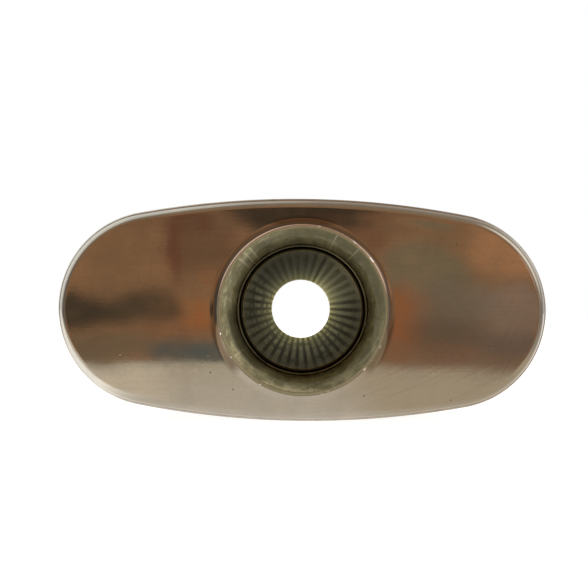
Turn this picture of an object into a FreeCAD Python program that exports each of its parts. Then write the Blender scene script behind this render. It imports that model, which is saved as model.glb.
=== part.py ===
import FreeCAD, Part
import math
import os

# Straight-through oval muffler in welded stainless sheet and tube, in millimetres.
# The pipe axis is Y with the inlet at -Y, X is the broad way across and Z is up.
# The origin is on the pipe axis, half way along the body.

# Body: a four-arc oval sheet with a pressed cap in each end
body_width = 228.6
body_height = 104.2
end_arc_radius = 45.7
body_length = 350.0
shell_sheet = 1.2
seam_width = 1.6
cap_sheet = 1.5
cap_edge_radius = 3.5
cap_weld_width = 3.0
cap_weld_flat = 0.12
skirt_lap = 11.5
collar_bend_radius = 8.0
collar_land = 2.5

# Necks: each takes a slip-on pipe, is swaged down behind its socket and is welded into a collar
pipe_diameter = 63.5
pipe_clearance = 0.25
neck_wall = 1.5
socket_depth = 34.0
swage_step = 0.5
swage_length = 2.0
neck_weld_leg = 2.5
neck_weld_crown = 0.65
neck_weld_spare = 1.0
neck_cover = 6.3
rim_round = 0.5

# Sleeves: each carries one end of the core in a neck
sleeve_sheet = 0.8
sleeve_lip_clearance = 0.5
sleeve_lip_length = 4.0
sleeve_flare_length = 2.5
sleeve_seat_length = 5.0
sleeve_draw_length = 3.0
sleeve_grip_length = 5.0

# Core: a perforated tube, here with a thinned-out pattern of holes
core_wall = 1.0
core_lip_gap = 1.1
core_inset = 9.2
core_hole_diameter = 8.0
core_holes_per_ring = 6
core_ring_pitch = 40.0
core_hole_margin = 0.8

# Packing: steel wool round the core, then a fibre wrap and a pad each side
wool_thickness = 6.0
pad_start = 16.0
packing_clearance = 0.3

# Places along the axis, as distances from the middle of the body
face_y = body_length / 2
shell_end_y = face_y - cap_edge_radius - cap_weld_width
skirt_end_y = shell_end_y - skirt_lap
packing_end_y = face_y - cap_edge_radius - packing_clearance
collar_bend_y = face_y + collar_bend_radius
collar_lip_y = collar_bend_y + collar_land
neck_weld_end_y = collar_lip_y + neck_weld_leg
swage_start_y = neck_weld_end_y + neck_weld_spare
socket_end_y = swage_start_y + swage_length
mouth_y = socket_end_y + socket_depth
core_end_y = face_y - core_inset
lip_end_y = core_end_y - sleeve_lip_length
seat_start_y = lip_end_y - sleeve_flare_length
seat_end_y = seat_start_y - sleeve_seat_length
grip_start_y = seat_end_y - sleeve_draw_length
sleeve_end_y = grip_start_y - sleeve_grip_length
neck_end_y = seat_end_y - neck_cover
wool_end_y = min(neck_end_y, sleeve_end_y) - packing_clearance
perforated_end_y = sleeve_end_y - core_hole_margin

# Radii from the pipe axis, worked inwards from the pipe that the sockets take
socket_inner_radius = pipe_diameter / 2 + pipe_clearance
socket_outer_radius = socket_inner_radius + neck_wall
neck_inner_radius = socket_inner_radius - swage_step
neck_outer_radius = neck_inner_radius + neck_wall
collar_outer_radius = neck_outer_radius + cap_sheet
collar_root_radius = collar_outer_radius + collar_bend_radius
lip_outer_radius = neck_inner_radius - sleeve_lip_clearance
lip_inner_radius = lip_outer_radius - sleeve_sheet
core_outer_radius = lip_inner_radius - core_lip_gap
core_inner_radius = core_outer_radius - core_wall
wool_inner_radius = core_outer_radius + packing_clearance
wool_outer_radius = wool_inner_radius + wool_thickness
wrap_inner_radius = max(wool_outer_radius, neck_outer_radius) + packing_clearance
packing_inset = shell_sheet + cap_sheet + packing_clearance
wrap_outer_radius = body_height / 2 - packing_inset

origin = FreeCAD.Vector(0, 0, 0)
pipe_axis = FreeCAD.Vector(0, 1, 0)
upward = FreeCAD.Vector(0, 0, 1)


def oval_face(inset, y):
    """A flat four-arc oval across the pipe axis, drawn in from the body's outside by an inset."""
    half_width = body_width / 2 - inset
    half_height = body_height / 2 - inset
    end_radius = end_arc_radius - inset
    end_centre = half_width - end_radius
    rise = half_height - end_radius
    broad_radius = (end_centre ** 2 + half_height ** 2 - end_radius ** 2) / (2 * rise)
    span = broad_radius - end_radius
    meet_x = end_centre + end_radius * end_centre / span
    meet_z = end_radius * (broad_radius - half_height) / span
    corners = [(meet_x, meet_z), (-meet_x, meet_z), (-meet_x, -meet_z), (meet_x, -meet_z)]
    crests = [(0, half_height), (-half_width, 0), (0, -half_height), (half_width, 0)]
    arcs = []
    for side in range(len(corners)):
        start = FreeCAD.Vector(corners[side][0], y, corners[side][1])
        crest = FreeCAD.Vector(crests[side][0], y, crests[side][1])
        following = corners[(side + 1) % len(corners)]
        end = FreeCAD.Vector(following[0], y, following[1])
        arcs.append(Part.Arc(start, crest, end).toShape())
    return Part.Face(Part.Wire(arcs))


def oval_block(inset, y_from, y_to):
    """A solid oval bar between two places along the axis."""
    return oval_face(inset, y_from).extrude(FreeCAD.Vector(0, y_to - y_from, 0))


def oval_band(outer_inset, inner_inset, y_from, y_to):
    """An oval band between two insets."""
    return oval_block(outer_inset, y_from, y_to).cut(oval_block(inner_inset, y_from, y_to))


def edges_at(shape, y):
    """The edges that lie in the plane across the axis at y."""
    found = []
    for edge in shape.Edges:
        box = edge.BoundBox
        if abs(box.YMin - y) < 1e-4 and abs(box.YMax - y) < 1e-4:
            found.append(edge)
    return found


def section_point(radius, y):
    """A point of a turned section, given by its radius and its place along the axis."""
    return FreeCAD.Vector(radius, y, 0)


def turned(edges):
    """The solid that a closed section makes when it is turned round the pipe axis."""
    return Part.Face(Part.Wire(edges)).revolve(origin, pipe_axis, 360)


def turned_polygon(points):
    """The solid turned from a section of straight lines, with points as (radius, y) pairs."""
    corners = [section_point(radius, y) for radius, y in points]
    return turned(Part.makePolygon(corners + corners[:1]).Edges)


def tube(inner_radius, outer_radius, y_from, y_to):
    """A plain round tube on the pipe axis."""
    return turned_polygon(
        [(inner_radius, y_from), (outer_radius, y_from), (outer_radius, y_to), (inner_radius, y_to)]
    )


def half_turn(shape):
    """The same piece at the other end or side, turned half round about the vertical."""
    other = shape.copy()
    other.rotate(origin, upward, 180)
    return other


def seam_slot():
    """The strip along the crest of the body where the rolled sheet's two edges meet."""
    low_corner = FreeCAD.Vector(-seam_width / 2, -shell_end_y, 0)
    return Part.makeBox(seam_width, 2 * shell_end_y, body_height, low_corner)


def rolled_sheet():
    """The closed oval sheet of the body, before its seam is opened."""
    return oval_band(0, shell_sheet, -shell_end_y, shell_end_y)


def outer_shell():
    """The rolled oval sheet, open along its seam."""
    return rolled_sheet().cut(seam_slot())


def shell_seam_weld():
    """The weld that fills the seam, ground flush."""
    return rolled_sheet().common(seam_slot())


def end_cap():
    """The inlet cap: a flat pressed face, a skirt inside the shell and a collar drawn outwards."""
    outside = oval_block(shell_sheet, -face_y, -skirt_end_y)
    outside = outside.makeFillet(cap_edge_radius, edges_at(outside, -face_y))
    inner_face_y = face_y - cap_sheet
    inside = oval_block(shell_sheet + cap_sheet, -inner_face_y, -skirt_end_y)
    inside = inside.makeFillet(cap_edge_radius - cap_sheet, edges_at(inside, -inner_face_y))
    opening = tube(0, collar_root_radius, -face_y, -inner_face_y)
    return outside.cut(inside).cut(opening).fuse(cap_collar()).removeSplitter()


def cap_collar():
    """The drawn collar, from the flat face round a bend to the lip on the neck."""
    bend_centre_y = -collar_bend_y
    inner_bend_radius = collar_bend_radius + cap_sheet
    slant = math.sqrt(0.5)
    root_outside = section_point(collar_root_radius, -face_y)
    bend_outside = section_point(
        collar_root_radius - collar_bend_radius * slant, bend_centre_y + collar_bend_radius * slant
    )
    land_outside = section_point(collar_outer_radius, bend_centre_y)
    lip_outside = section_point(collar_outer_radius, -collar_lip_y)
    lip_inside = section_point(neck_outer_radius, -collar_lip_y)
    land_inside = section_point(neck_outer_radius, bend_centre_y)
    bend_inside = section_point(
        collar_root_radius - inner_bend_radius * slant, bend_centre_y + inner_bend_radius * slant
    )
    root_inside = section_point(collar_root_radius, -face_y + cap_sheet)
    return turned(
        [
            Part.Arc(root_outside, bend_outside, land_outside).toShape(),
            Part.makeLine(land_outside, lip_outside),
            Part.makeLine(lip_outside, lip_inside),
            Part.makeLine(lip_inside, land_inside),
            Part.Arc(land_inside, bend_inside, root_inside).toShape(),
            Part.makeLine(root_inside, root_outside),
        ]
    )


def cap_weld():
    """The ground weld in the corner between the cap's skirt and the edge of the shell."""
    weld_start_y = shell_end_y + cap_weld_width
    bead = oval_band(0, shell_sheet, -weld_start_y, -shell_end_y)
    outer_edges = []
    for edge in edges_at(bead, -weld_start_y):
        middle = edge.valueAt((edge.FirstParameter + edge.LastParameter) / 2)
        on_outside = max(abs(middle.x) - body_width / 2, abs(middle.z) - body_height / 2)
        if on_outside > -shell_sheet / 2:
            outer_edges.append(edge)
    return bead.makeFillet(min(shell_sheet, cap_weld_width) - cap_weld_flat, outer_edges)


def neck():
    """The inlet neck: a slip socket at the mouth, swaged down to the tube that enters the cap."""
    pipe = turned_polygon(
        [
            (socket_inner_radius, -mouth_y),
            (socket_outer_radius, -mouth_y),
            (socket_outer_radius, -socket_end_y),
            (neck_outer_radius, -swage_start_y),
            (neck_outer_radius, -neck_end_y),
            (neck_inner_radius, -neck_end_y),
            (neck_inner_radius, -swage_start_y),
            (socket_inner_radius, -socket_end_y),
        ]
    )
    return pipe.makeFillet(min(rim_round, neck_wall / 3), edges_at(pipe, -mouth_y))


def neck_weld():
    """The bead between the collar's lip and the neck, arched through its crown."""
    corner = section_point(neck_outer_radius, -collar_lip_y)
    on_lip = section_point(collar_outer_radius, -collar_lip_y)
    on_neck = section_point(neck_outer_radius, -neck_weld_end_y)
    crown = section_point(
        neck_outer_radius + neck_weld_crown * cap_sheet, -collar_lip_y - neck_weld_crown * neck_weld_leg
    )
    return turned(
        [
            Part.makeLine(corner, on_lip),
            Part.Arc(on_lip, crown, on_neck).toShape(),
            Part.makeLine(on_neck, corner),
        ]
    )


def perforated_core():
    """The core tube with staggered rings of round holes between the two sleeves."""
    core = tube(core_inner_radius, core_outer_radius, -core_end_y, core_end_y)
    hole_radius = core_hole_diameter / 2
    last_ring_y = perforated_end_y - hole_radius
    rings = int(2 * last_ring_y / core_ring_pitch) + 1
    first_ring_y = -core_ring_pitch * (rings - 1) / 2
    step = 2 * math.pi / core_holes_per_ring
    punch_start = core_inner_radius - core_wall
    punch_end = core_outer_radius + core_wall
    punches = []
    for ring in range(rings):
        y = first_ring_y + ring * core_ring_pitch
        stagger = step / 2 * (ring % 2)
        for hole in range(core_holes_per_ring):
            angle = hole * step + stagger
            outward = FreeCAD.Vector(math.cos(angle), 0, math.sin(angle))
            start = outward * punch_start + FreeCAD.Vector(0, y, 0)
            punches.append(Part.makeCylinder(hole_radius, punch_end - punch_start, start, outward))
    return core.cut(punches)


def core_sleeve():
    """The inlet sleeve: a free lip, a seat on the neck's wall and a drawn-in end that grips the core."""
    outline = [
        (lip_outer_radius, -core_end_y),
        (lip_outer_radius, -lip_end_y),
        (neck_inner_radius, -seat_start_y),
        (neck_inner_radius, -seat_end_y),
        (core_outer_radius + sleeve_sheet, -grip_start_y),
        (core_outer_radius + sleeve_sheet, -sleeve_end_y),
    ]
    lining = [(radius - sleeve_sheet, y) for radius, y in reversed(outline)]
    return turned_polygon(outline + lining)


def steel_wool_wrap():
    """The steel wool round the perforated length of the core."""
    return tube(wool_inner_radius, wool_outer_radius, -wool_end_y, wool_end_y)


def fibre_wrap():
    """The fibre rolled round the wool, as thick as the low middle of the body leaves room for."""
    return tube(wrap_inner_radius, wrap_outer_radius, -packing_end_y, packing_end_y)


def fibre_pad():
    """The fibre that fills the right side of the body, beside the wrap."""
    fill = oval_block(packing_inset, -packing_end_y, packing_end_y)
    roll = tube(0, wrap_outer_radius + packing_clearance, -packing_end_y, packing_end_y)
    low_corner = FreeCAD.Vector(pad_start, -packing_end_y, -body_height)
    right_side = Part.makeBox(body_width, 2 * packing_end_y, 2 * body_height, low_corner)
    return fill.cut(roll).common(right_side)


def single_solid(shape):
    """The one solid in a shape, out of any compound that a cut left round it."""
    solids = shape.Solids
    if len(solids) != 1:
        raise ValueError("a piece came out as %d solids" % len(solids))
    return solids[0]


inlet_pieces = {
    "end_cap": end_cap(),
    "cap_weld": cap_weld(),
    "neck": neck(),
    "neck_weld": neck_weld(),
    "core_sleeve": core_sleeve(),
}

pieces = {
    "outer_shell": outer_shell(),
    "shell_seam_weld": shell_seam_weld(),
    "perforated_core": perforated_core(),
    "steel_wool_wrap": steel_wool_wrap(),
    "fibre_wrap": fibre_wrap(),
    "right_fibre_pad": fibre_pad(),
}
pieces["left_fibre_pad"] = half_turn(pieces["right_fibre_pad"])
for name, shape in inlet_pieces.items():
    pieces["inlet_" + name] = shape
    pieces["outlet_" + name] = half_turn(shape)

os.makedirs("parts", exist_ok=True)
for name, shape in pieces.items():
    single_solid(shape).exportStep("parts/" + name + ".step")
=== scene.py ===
"""Dresses a straight-through oval muffler and sets it in a plain pale studio.

Lengths are metres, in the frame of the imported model: the pipe axis is Y with the inlet at -Y, X is
the broad way across the body and Z is up. The polished sheet, the tubes, the welds, the punched
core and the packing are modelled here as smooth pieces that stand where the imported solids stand.
"""
import logging
import math
from collections.abc import Callable, Sequence
from dataclasses import dataclass
from enum import Enum
from functools import reduce

import bmesh
import bpy
from mathutils import Matrix, Vector, noise


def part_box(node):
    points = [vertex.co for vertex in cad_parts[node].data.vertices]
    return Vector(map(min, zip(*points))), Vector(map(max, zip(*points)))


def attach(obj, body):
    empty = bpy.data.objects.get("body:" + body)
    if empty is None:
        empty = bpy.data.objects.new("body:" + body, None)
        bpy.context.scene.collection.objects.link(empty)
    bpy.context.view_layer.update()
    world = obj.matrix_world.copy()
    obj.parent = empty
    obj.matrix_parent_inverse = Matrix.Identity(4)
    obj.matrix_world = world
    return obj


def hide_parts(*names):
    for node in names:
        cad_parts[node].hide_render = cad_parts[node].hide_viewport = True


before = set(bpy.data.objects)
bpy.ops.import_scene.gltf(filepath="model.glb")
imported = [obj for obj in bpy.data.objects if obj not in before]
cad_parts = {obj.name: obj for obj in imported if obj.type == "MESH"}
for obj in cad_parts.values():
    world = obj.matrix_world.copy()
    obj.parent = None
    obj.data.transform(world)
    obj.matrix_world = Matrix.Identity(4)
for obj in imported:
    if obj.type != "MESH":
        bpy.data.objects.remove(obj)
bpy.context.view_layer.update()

MM = 0.001
FULL_TURN = 2 * math.pi
QUARTER_TURN = math.pi / 2
BODY = "root"
WELD_DISTANCE = 1e-6
SHARP_ANGLE = math.radians(34)
END_ARC_RADIUS = 45.7 * MM

Triple = tuple[float, float, float]
Colour = Triple
Corner = Triple
Span = tuple[float, float]
Socket = bpy.types.NodeSocket
Value = float | Socket
Paint = Socket | Colour
Given = Value | Colour | Vector
Place = Callable[[float], Vector]

log = logging.getLogger("muffler")


class End(Enum):
    """Which end of the muffler a piece belongs to; the value is the sign of its Y."""

    INLET = -1
    OUTLET = 1

    @property
    def word(self) -> str:
        """The end's name as the nodes write it."""
        return self.name.lower()

    def section(self, corners: Sequence[Corner]) -> list[Corner]:
        """Turns the corners' distances from the middle into their Y."""
        return [(radius, self.value * away, rounding) for radius, away, rounding in corners]


class Grain(Enum):
    """Which way the buffing lines of a sheet run; the value stretches a pattern that way."""

    ACROSS = (0.02, 1.0, 1.0)
    LENGTHWISE = (1.0, 0.02, 1.0)


@dataclass(frozen=True)
class BodySizes:
    """The main sizes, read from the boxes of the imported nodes.

    Every end, the lip and the mouth are distances from the middle along the pipe axis.

    Attributes:
        half_width: half of the oval's broad way.
        half_height: half of the oval's narrow way.
        shell_end: the shell's cut edge.
        weld_end: the outer side of the cap weld.
        sheet: thickness of the shell, from the cap's skirt inside it.
        skirt_end: the inner end of the cap's skirt.
        lip: the collar's lip.
        collar_radius: outer radius of the drawn collar.
        bead_end: the end of the neck's weld bead.
        mouth: the neck's rim.
        neck_end: the neck's inner end.
        socket_radius: outer radius of the neck's socket.
        core_end: the end of the core.
        core_radius: outer radius of the core.
        sleeve_end: the gripping end of the sleeve.
        seat_radius: outer radius of the sleeve's seat, which is the neck's inner radius.
        seam_half: half of the seam weld's width.
    """

    half_width: float
    half_height: float
    shell_end: float
    weld_end: float
    sheet: float
    skirt_end: float
    lip: float
    collar_radius: float
    bead_end: float
    mouth: float
    neck_end: float
    socket_radius: float
    core_end: float
    core_radius: float
    sleeve_end: float
    seat_radius: float
    seam_half: float

    @classmethod
    def from_frame(cls) -> "BodySizes":
        """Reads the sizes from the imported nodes.

        Returns:
            The sizes of this muffler.
        """
        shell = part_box("outer_shell")[1]
        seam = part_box("shell_seam_weld")[1]
        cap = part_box("outlet_end_cap")
        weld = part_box("outlet_cap_weld")[1]
        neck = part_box("outlet_neck")
        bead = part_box("outlet_neck_weld")[1]
        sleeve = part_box("outlet_core_sleeve")
        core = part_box("perforated_core")[1]
        return cls(
            half_width=shell.x,
            half_height=seam.z,
            shell_end=shell.y,
            weld_end=weld.y,
            sheet=shell.x - cap[1].x,
            skirt_end=cap[0].y,
            lip=cap[1].y,
            collar_radius=bead.x,
            bead_end=bead.y,
            mouth=neck[1].y,
            neck_end=neck[0].y,
            socket_radius=neck[1].x,
            core_end=core.y,
            core_radius=core.x,
            sleeve_end=sleeve[0].y,
            seat_radius=sleeve[1].x,
            seam_half=seam.x,
        )


@dataclass(frozen=True)
class OvalOutline:
    """The body's oval of four arcs, walked by its length from the top crest towards +X.

    Attributes:
        half_width: half of the broad way across.
        half_height: half of the narrow way across.
        end_radius: radius of the two end arcs.
    """

    half_width: float
    half_height: float
    end_radius: float

    @property
    def end_centre(self) -> float:
        """Distance of an end arc's centre from the middle."""
        return self.half_width - self.end_radius

    @property
    def broad_radius(self) -> float:
        """Radius of the two broad arcs."""
        rise = self.half_height - self.end_radius
        return (self.end_centre**2 + self.half_height**2 - self.end_radius**2) / (2 * rise)

    @property
    def broad_angle(self) -> float:
        """Half of the angle that a broad arc spans."""
        return math.asin(self.end_centre / (self.broad_radius - self.end_radius))

    @property
    def broad_length(self) -> float:
        """Length of the broad arc in one quarter of the outline."""
        return self.broad_radius * self.broad_angle

    @property
    def quarter_length(self) -> float:
        """Length of one quarter of the outline."""
        return self.broad_length + self.end_radius * (QUARTER_TURN - self.broad_angle)

    def bearing(self, turn: float) -> float:
        """Finds how far the outline has turned from the crest within one quarter.

        Args:
            turn: share of the outline's length from the top crest, 0 to 1.

        Returns:
            The angle of the outward normal from the vertical, 0 to a quarter turn.
        """
        share = turn % 1.0 * 4.0
        quarter = int(share)
        walked = share - quarter if quarter % 2 == 0 else quarter + 1 - share
        length = walked * self.quarter_length
        if length < self.broad_length:
            return length / self.broad_radius
        return self.broad_angle + (length - self.broad_length) / self.end_radius

    def point(self, turn: float, inset: float, along: float) -> Vector:
        """Finds a point of the outline.

        Args:
            turn: share of the outline's length from the top crest, 0 to 1.
            inset: how far the point is drawn in from the outline.
            along: the point's Y.

        Returns:
            The point.
        """
        bearing = self.bearing(turn)
        quarter = int(turn % 1.0 * 4.0)
        if bearing < self.broad_angle:
            radius = self.broad_radius - inset
            across = radius * math.sin(bearing)
            up = self.half_height - self.broad_radius + radius * math.cos(bearing)
        else:
            radius = self.end_radius - inset
            across = self.end_centre + radius * math.sin(bearing)
            up = radius * math.cos(bearing)
        side = 1 if quarter < 2 else -1
        height = 1 if quarter in (0, 3) else -1
        return Vector((side * across, along, height * up))


class RingSkin:
    """A skin that grows row by row from one ring of vertices round the pipe axis."""

    def __init__(self, columns: int, gap: float = 0.0) -> None:
        """Starts the first ring.

        Args:
            columns: number of vertices in each row.
            gap: share of a turn that stays open each side of the top crest.
        """
        self.mesh = bmesh.new()
        self.turn = self.mesh.verts.layers.float.new("turn")
        self.row = bmesh.ops.create_circle(self.mesh, segments=columns, radius=1.0)["verts"]
        steps = columns - 1 if gap else columns
        for number, vertex in enumerate(self.row):
            vertex[self.turn] = gap + (1 - 2 * gap) * number / steps
        if gap:
            closing = self.mesh.edges.get((self.row[0], self.row[-1]))
            self.mesh.edges.remove(closing)
        self.edges = list(self.mesh.edges)
        self.started = False

    def grow(self, place: Place) -> None:
        """Adds a row, or moves the first ring to its place.

        Args:
            place: gives the place of a vertex from its share of a turn.
        """
        if self.started:
            made = bmesh.ops.extrude_edge_only(self.mesh, edges=self.edges)["geom"]
            self.row = [item for item in made if isinstance(item, bmesh.types.BMVert)]
            self.edges = [item for item in made if isinstance(item, bmesh.types.BMEdge)]
        self.started = True
        for vertex in self.row:
            vertex.co = place(vertex[self.turn])

    def grow_closed(self, places: Sequence[Place]) -> None:
        """Grows one row for each place and welds the last row to the first.

        Args:
            places: the rows' places, in order round the section.
        """
        for place in [*places, places[0]]:
            self.grow(place)
        self.weld()

    def weld(self) -> None:
        """Merges vertices that lie on each other and turns every face outwards."""
        bmesh.ops.remove_doubles(self.mesh, verts=self.mesh.verts, dist=WELD_DISTANCE)
        bmesh.ops.recalc_face_normals(self.mesh, faces=self.mesh.faces)


def smooth_share(share: float) -> float:
    """Eases a share from 0 to 1, and keeps it at 1 beyond."""
    capped = min(1.0, max(0.0, share))
    return capped * capped * (3 - 2 * capped)


def circle_point(turn: float, radius: float, along: float) -> Vector:
    """Finds a point at a share of a turn from the top towards +X, round the pipe axis."""
    angle = turn * FULL_TURN
    return Vector((radius * math.sin(angle), along, radius * math.cos(angle)))


def soft_noise(point: Vector) -> float:
    """Soft noise from 0 to 1 at a point."""
    return 0.5 + 0.5 * noise.noise(point)


def quarter_arc(rows: int, forwards: bool = True) -> list[float]:
    """Gives the angles of the rows round a quarter bend.

    Args:
        rows: steps in the bend.
        forwards: True from 0 to a quarter turn, False back again.

    Returns:
        The angles.
    """
    angles = [row / rows * QUARTER_TURN for row in range(rows + 1)]
    return angles if forwards else angles[::-1]


def turned(section: Sequence[Corner], steps: int, rounding_segments: int = 3) -> bmesh.types.BMesh:
    """Spins a closed section once round the pipe axis.

    Args:
        section: the corners as (radius, Y, rounding), in order.
        steps: number of steps in the full turn.
        rounding_segments: segments in each rounded corner.

    Returns:
        The closed mesh with its faces outwards.
    """
    mesh = bmesh.new()
    corners = [mesh.verts.new((radius, along, 0.0)) for radius, along, _ in section]
    mesh.faces.new(corners)
    for rounding in sorted({rounding for _, _, rounding in section if rounding > 0}):
        chosen = [corner for corner, row in zip(corners, section) if row[2] == rounding]
        bmesh.ops.bevel(
            mesh,
            geom=chosen,
            offset=rounding,
            offset_type="OFFSET",
            affect="VERTICES",
            segments=rounding_segments,
            profile=0.5,
            material=-1,
        )
    sheet = next(iter(mesh.faces))
    bmesh.ops.delete(mesh, geom=[sheet], context="FACES_ONLY")
    bmesh.ops.spin(
        mesh,
        geom=[*mesh.verts, *mesh.edges],
        cent=(0.0, 0.0, 0.0),
        axis=(0.0, 1.0, 0.0),
        angle=FULL_TURN,
        steps=steps,
        use_merge=True,
    )
    bmesh.ops.remove_doubles(mesh, verts=mesh.verts, dist=WELD_DISTANCE)
    bmesh.ops.recalc_face_normals(mesh, faces=mesh.faces)
    return mesh


def thicken(mesh: bmesh.types.BMesh, wall: float, face: bmesh.types.BMFace, way: Vector) -> None:
    """Turns an open skin the right way and gives it a wall behind its faces.

    Args:
        mesh: the skin.
        wall: the wall's thickness.
        face: one of its faces.
        way: the way that this face has to look.
    """
    bmesh.ops.recalc_face_normals(mesh, faces=mesh.faces)
    if face.normal.dot(way) < 0:
        bmesh.ops.reverse_faces(mesh, faces=mesh.faces)
    bmesh.ops.solidify(mesh, geom=mesh.faces, thickness=wall)


def as_object(name: str, mesh: bmesh.types.BMesh) -> bpy.types.Object:
    """Makes a shown object of a finished mesh, smooth apart from its sharp edges.

    Args:
        name: the piece's name.
        mesh: the finished mesh, which is freed.

    Returns:
        The object, at the origin.
    """
    for layer in list(mesh.verts.layers.float.values()):
        mesh.verts.layers.float.remove(layer)
    for face in mesh.faces:
        face.smooth = True
    for edge in mesh.edges:
        edge.smooth = not edge.is_manifold or edge.calc_face_angle(0.0) < SHARP_ANGLE
    data = bpy.data.meshes.new(name)
    mesh.to_mesh(data)
    mesh.free()
    piece = bpy.data.objects.new(name, data)
    bpy.context.scene.collection.objects.link(piece)
    return piece


def dress(piece: bpy.types.Object, node: str, finish: bpy.types.Material) -> None:
    """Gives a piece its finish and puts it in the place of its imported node.

    Args:
        piece: the new piece.
        node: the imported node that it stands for.
        finish: the material.
    """
    piece.data.materials.clear()
    piece.data.materials.append(finish)
    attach(piece, BODY)
    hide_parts(node)
    log.info("%s stands for %s with %d faces", piece.name, node, len(piece.data.polygons))


@dataclass(frozen=True)
class Spot:
    """A soft oval spot.

    Attributes:
        across: its centre across.
        up: its centre up.
        half_across: its half width.
        half_up: its half height.
        share: how much of it shows.
    """

    across: float
    up: float
    half_across: float
    half_up: float
    share: float


class Recipe:
    """Builds the nodes of one metal, fibre or studio material."""

    def __init__(self, name: str) -> None:
        """Starts a material with one Principled shader.

        Args:
            name: the material's name.
        """
        self.material = bpy.data.materials.new(name)
        self.material.use_nodes = True
        self.tree = self.material.node_tree
        self.tree.nodes.clear()
        self.shader = self.tree.nodes.new("ShaderNodeBsdfPrincipled")
        output = self.tree.nodes.new("ShaderNodeOutputMaterial")
        self.tree.links.new(self.shader.outputs["BSDF"], output.inputs["Surface"])
        self.coordinates = self.tree.nodes.new("ShaderNodeTexCoord")

    @property
    def place(self) -> Socket:
        """The surface's place in the object, in metres."""
        return self.coordinates.outputs["Object"]

    def give(self, target: Socket, value: Given) -> None:
        """Links or sets one input.

        Args:
            target: the input.
            value: a socket to link, or a constant.
        """
        if isinstance(value, bpy.types.NodeSocket):
            self.tree.links.new(value, target)
        elif isinstance(value, tuple) and len(target.default_value) == 4:
            target.default_value = (*value, 1.0)
        else:
            target.default_value = value

    def set(self, name: str, value: Given) -> None:
        """Links or sets one input of the shader by its name."""
        self.give(self.shader.inputs[name], value)

    def node(self, kind: str, inputs: dict[str | int, Given], **settings: str) -> bpy.types.Node:
        """Adds one node.

        Args:
            kind: its type, without the leading "ShaderNode".
            inputs: what its inputs are given, by name or number.
            settings: its other settings.

        Returns:
            The node.
        """
        node = self.tree.nodes.new("ShaderNode" + kind)
        for name, value in settings.items():
            setattr(node, name, value)
        for name, value in inputs.items():
            self.give(node.inputs[name], value)
        return node

    def sum(self, operation: str, *values: Value) -> Socket:
        """Works out one number by a Math node's operation."""
        return self.node("Math", dict(enumerate(values)), operation=operation).outputs[0]

    def product(self, *factors: Value) -> Socket:
        """Multiplies some numbers, in order."""
        return reduce(lambda total, factor: self.sum("MULTIPLY", total, factor), factors)

    def largest(self, *values: Value) -> Socket:
        """Takes the largest of some numbers."""
        return reduce(lambda total, value: self.sum("MAXIMUM", total, value), values)

    def weighted(self, start: Value, *parts: tuple[Value, Value]) -> Socket:
        """Adds some numbers to a first one, each times its weight."""
        return reduce(lambda total, part: self.sum("MULTIPLY_ADD", *part, total), parts, start)

    def vector(self, operation: str, first: Socket, second: Given) -> Socket:
        """Works out one vector by a Vector Math node's operation."""
        other = "Scale" if operation == "SCALE" else 1
        node = self.node("VectorMath", {0: first, other: second}, operation=operation)
        return node.outputs["Vector"]

    def length(self, vector: Socket) -> Socket:
        """The length of a vector."""
        return self.node("VectorMath", {0: vector}, operation="LENGTH").outputs["Value"]

    def split(self, vector: Socket) -> tuple[Socket, Socket, Socket]:
        """Splits a vector into its three numbers."""
        return tuple(self.node("SeparateXYZ", {0: vector}).outputs)

    def stretched(self, vector: Socket, scale: Triple, turn: float = 0.0) -> Socket:
        """Turns a pattern about the pipe axis and stretches it.

        Args:
            vector: the place.
            scale: the factor each way, where a small one makes long marks.
            turn: the pattern's turn, in radians.

        Returns:
            The stretched place.
        """
        widths = tuple(1.0 / part for part in scale)
        inputs = {"Vector": vector, "Rotation": (0.0, turn, 0.0), "Scale": widths}
        return self.node("Mapping", inputs, vector_type="TEXTURE").outputs["Vector"]

    def noise(self, place: Socket, scale: float, detail: float = 3.0, rough: float = 0.5) -> Socket:
        """Makes cloudy noise from 0 to 1, of so many waves in each metre and finer layers."""
        inputs = {"Vector": place, "Scale": scale, "Detail": detail, "Roughness": rough}
        return self.node("TexNoise", inputs).outputs["Fac"]

    def wander(self, vector: Socket, scale: float, reach: float) -> Socket:
        """Shifts the place by soft noise, so that straight marks bend.

        Args:
            vector: the place.
            scale: waves in each metre.
            reach: the largest shift, in metres.

        Returns:
            The shifted place.
        """
        shifts = self.node("TexNoise", {"Vector": vector, "Scale": scale, "Detail": 1.0})
        centred = self.vector("SUBTRACT", shifts.outputs["Color"], (0.5, 0.5, 0.5))
        return self.vector("ADD", vector, self.vector("SCALE", centred, 2 * reach))

    def specks(self, vector: Socket, scale: float, size: float) -> Socket:
        """Masks round specks, so many in each metre, each of a size as a share of its cell."""
        cells = self.node("TexVoronoi", {"Vector": vector, "Scale": scale})
        return self.step(cells.outputs["Distance"], size, 0.5 * size)

    def step(self, value: Value, low: float, high: float, top: float = 1.0) -> Socket:
        """Fades softly from 0 to the top.

        Args:
            value: the number to judge.
            low: where the fade starts.
            high: where it ends, which may lie below its start.
            top: the result past the end.

        Returns:
            The faded number.
        """
        (first, bottom), (last, peak) = sorted([(low, 0.0), (high, top)])
        inputs = {"Value": value, "From Min": first, "From Max": last}
        inputs |= {"To Min": bottom, "To Max": peak}
        return self.node("MapRange", inputs, interpolation_type="SMOOTHSTEP").outputs["Result"]

    def blend(self, share: Value, first: Paint, second: Paint) -> Socket:
        """Mixes two colours by the share of the second."""
        return self.node("Mix", {0: share, 6: first, 7: second}, data_type="RGBA").outputs[2]

    def layered(self, base: Paint, *layers: tuple[Value, Paint]) -> Socket:
        """Lays colours over a base, in order, each after its share."""
        return reduce(lambda under, layer: self.blend(layer[0], under, layer[1]), layers, base)

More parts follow.
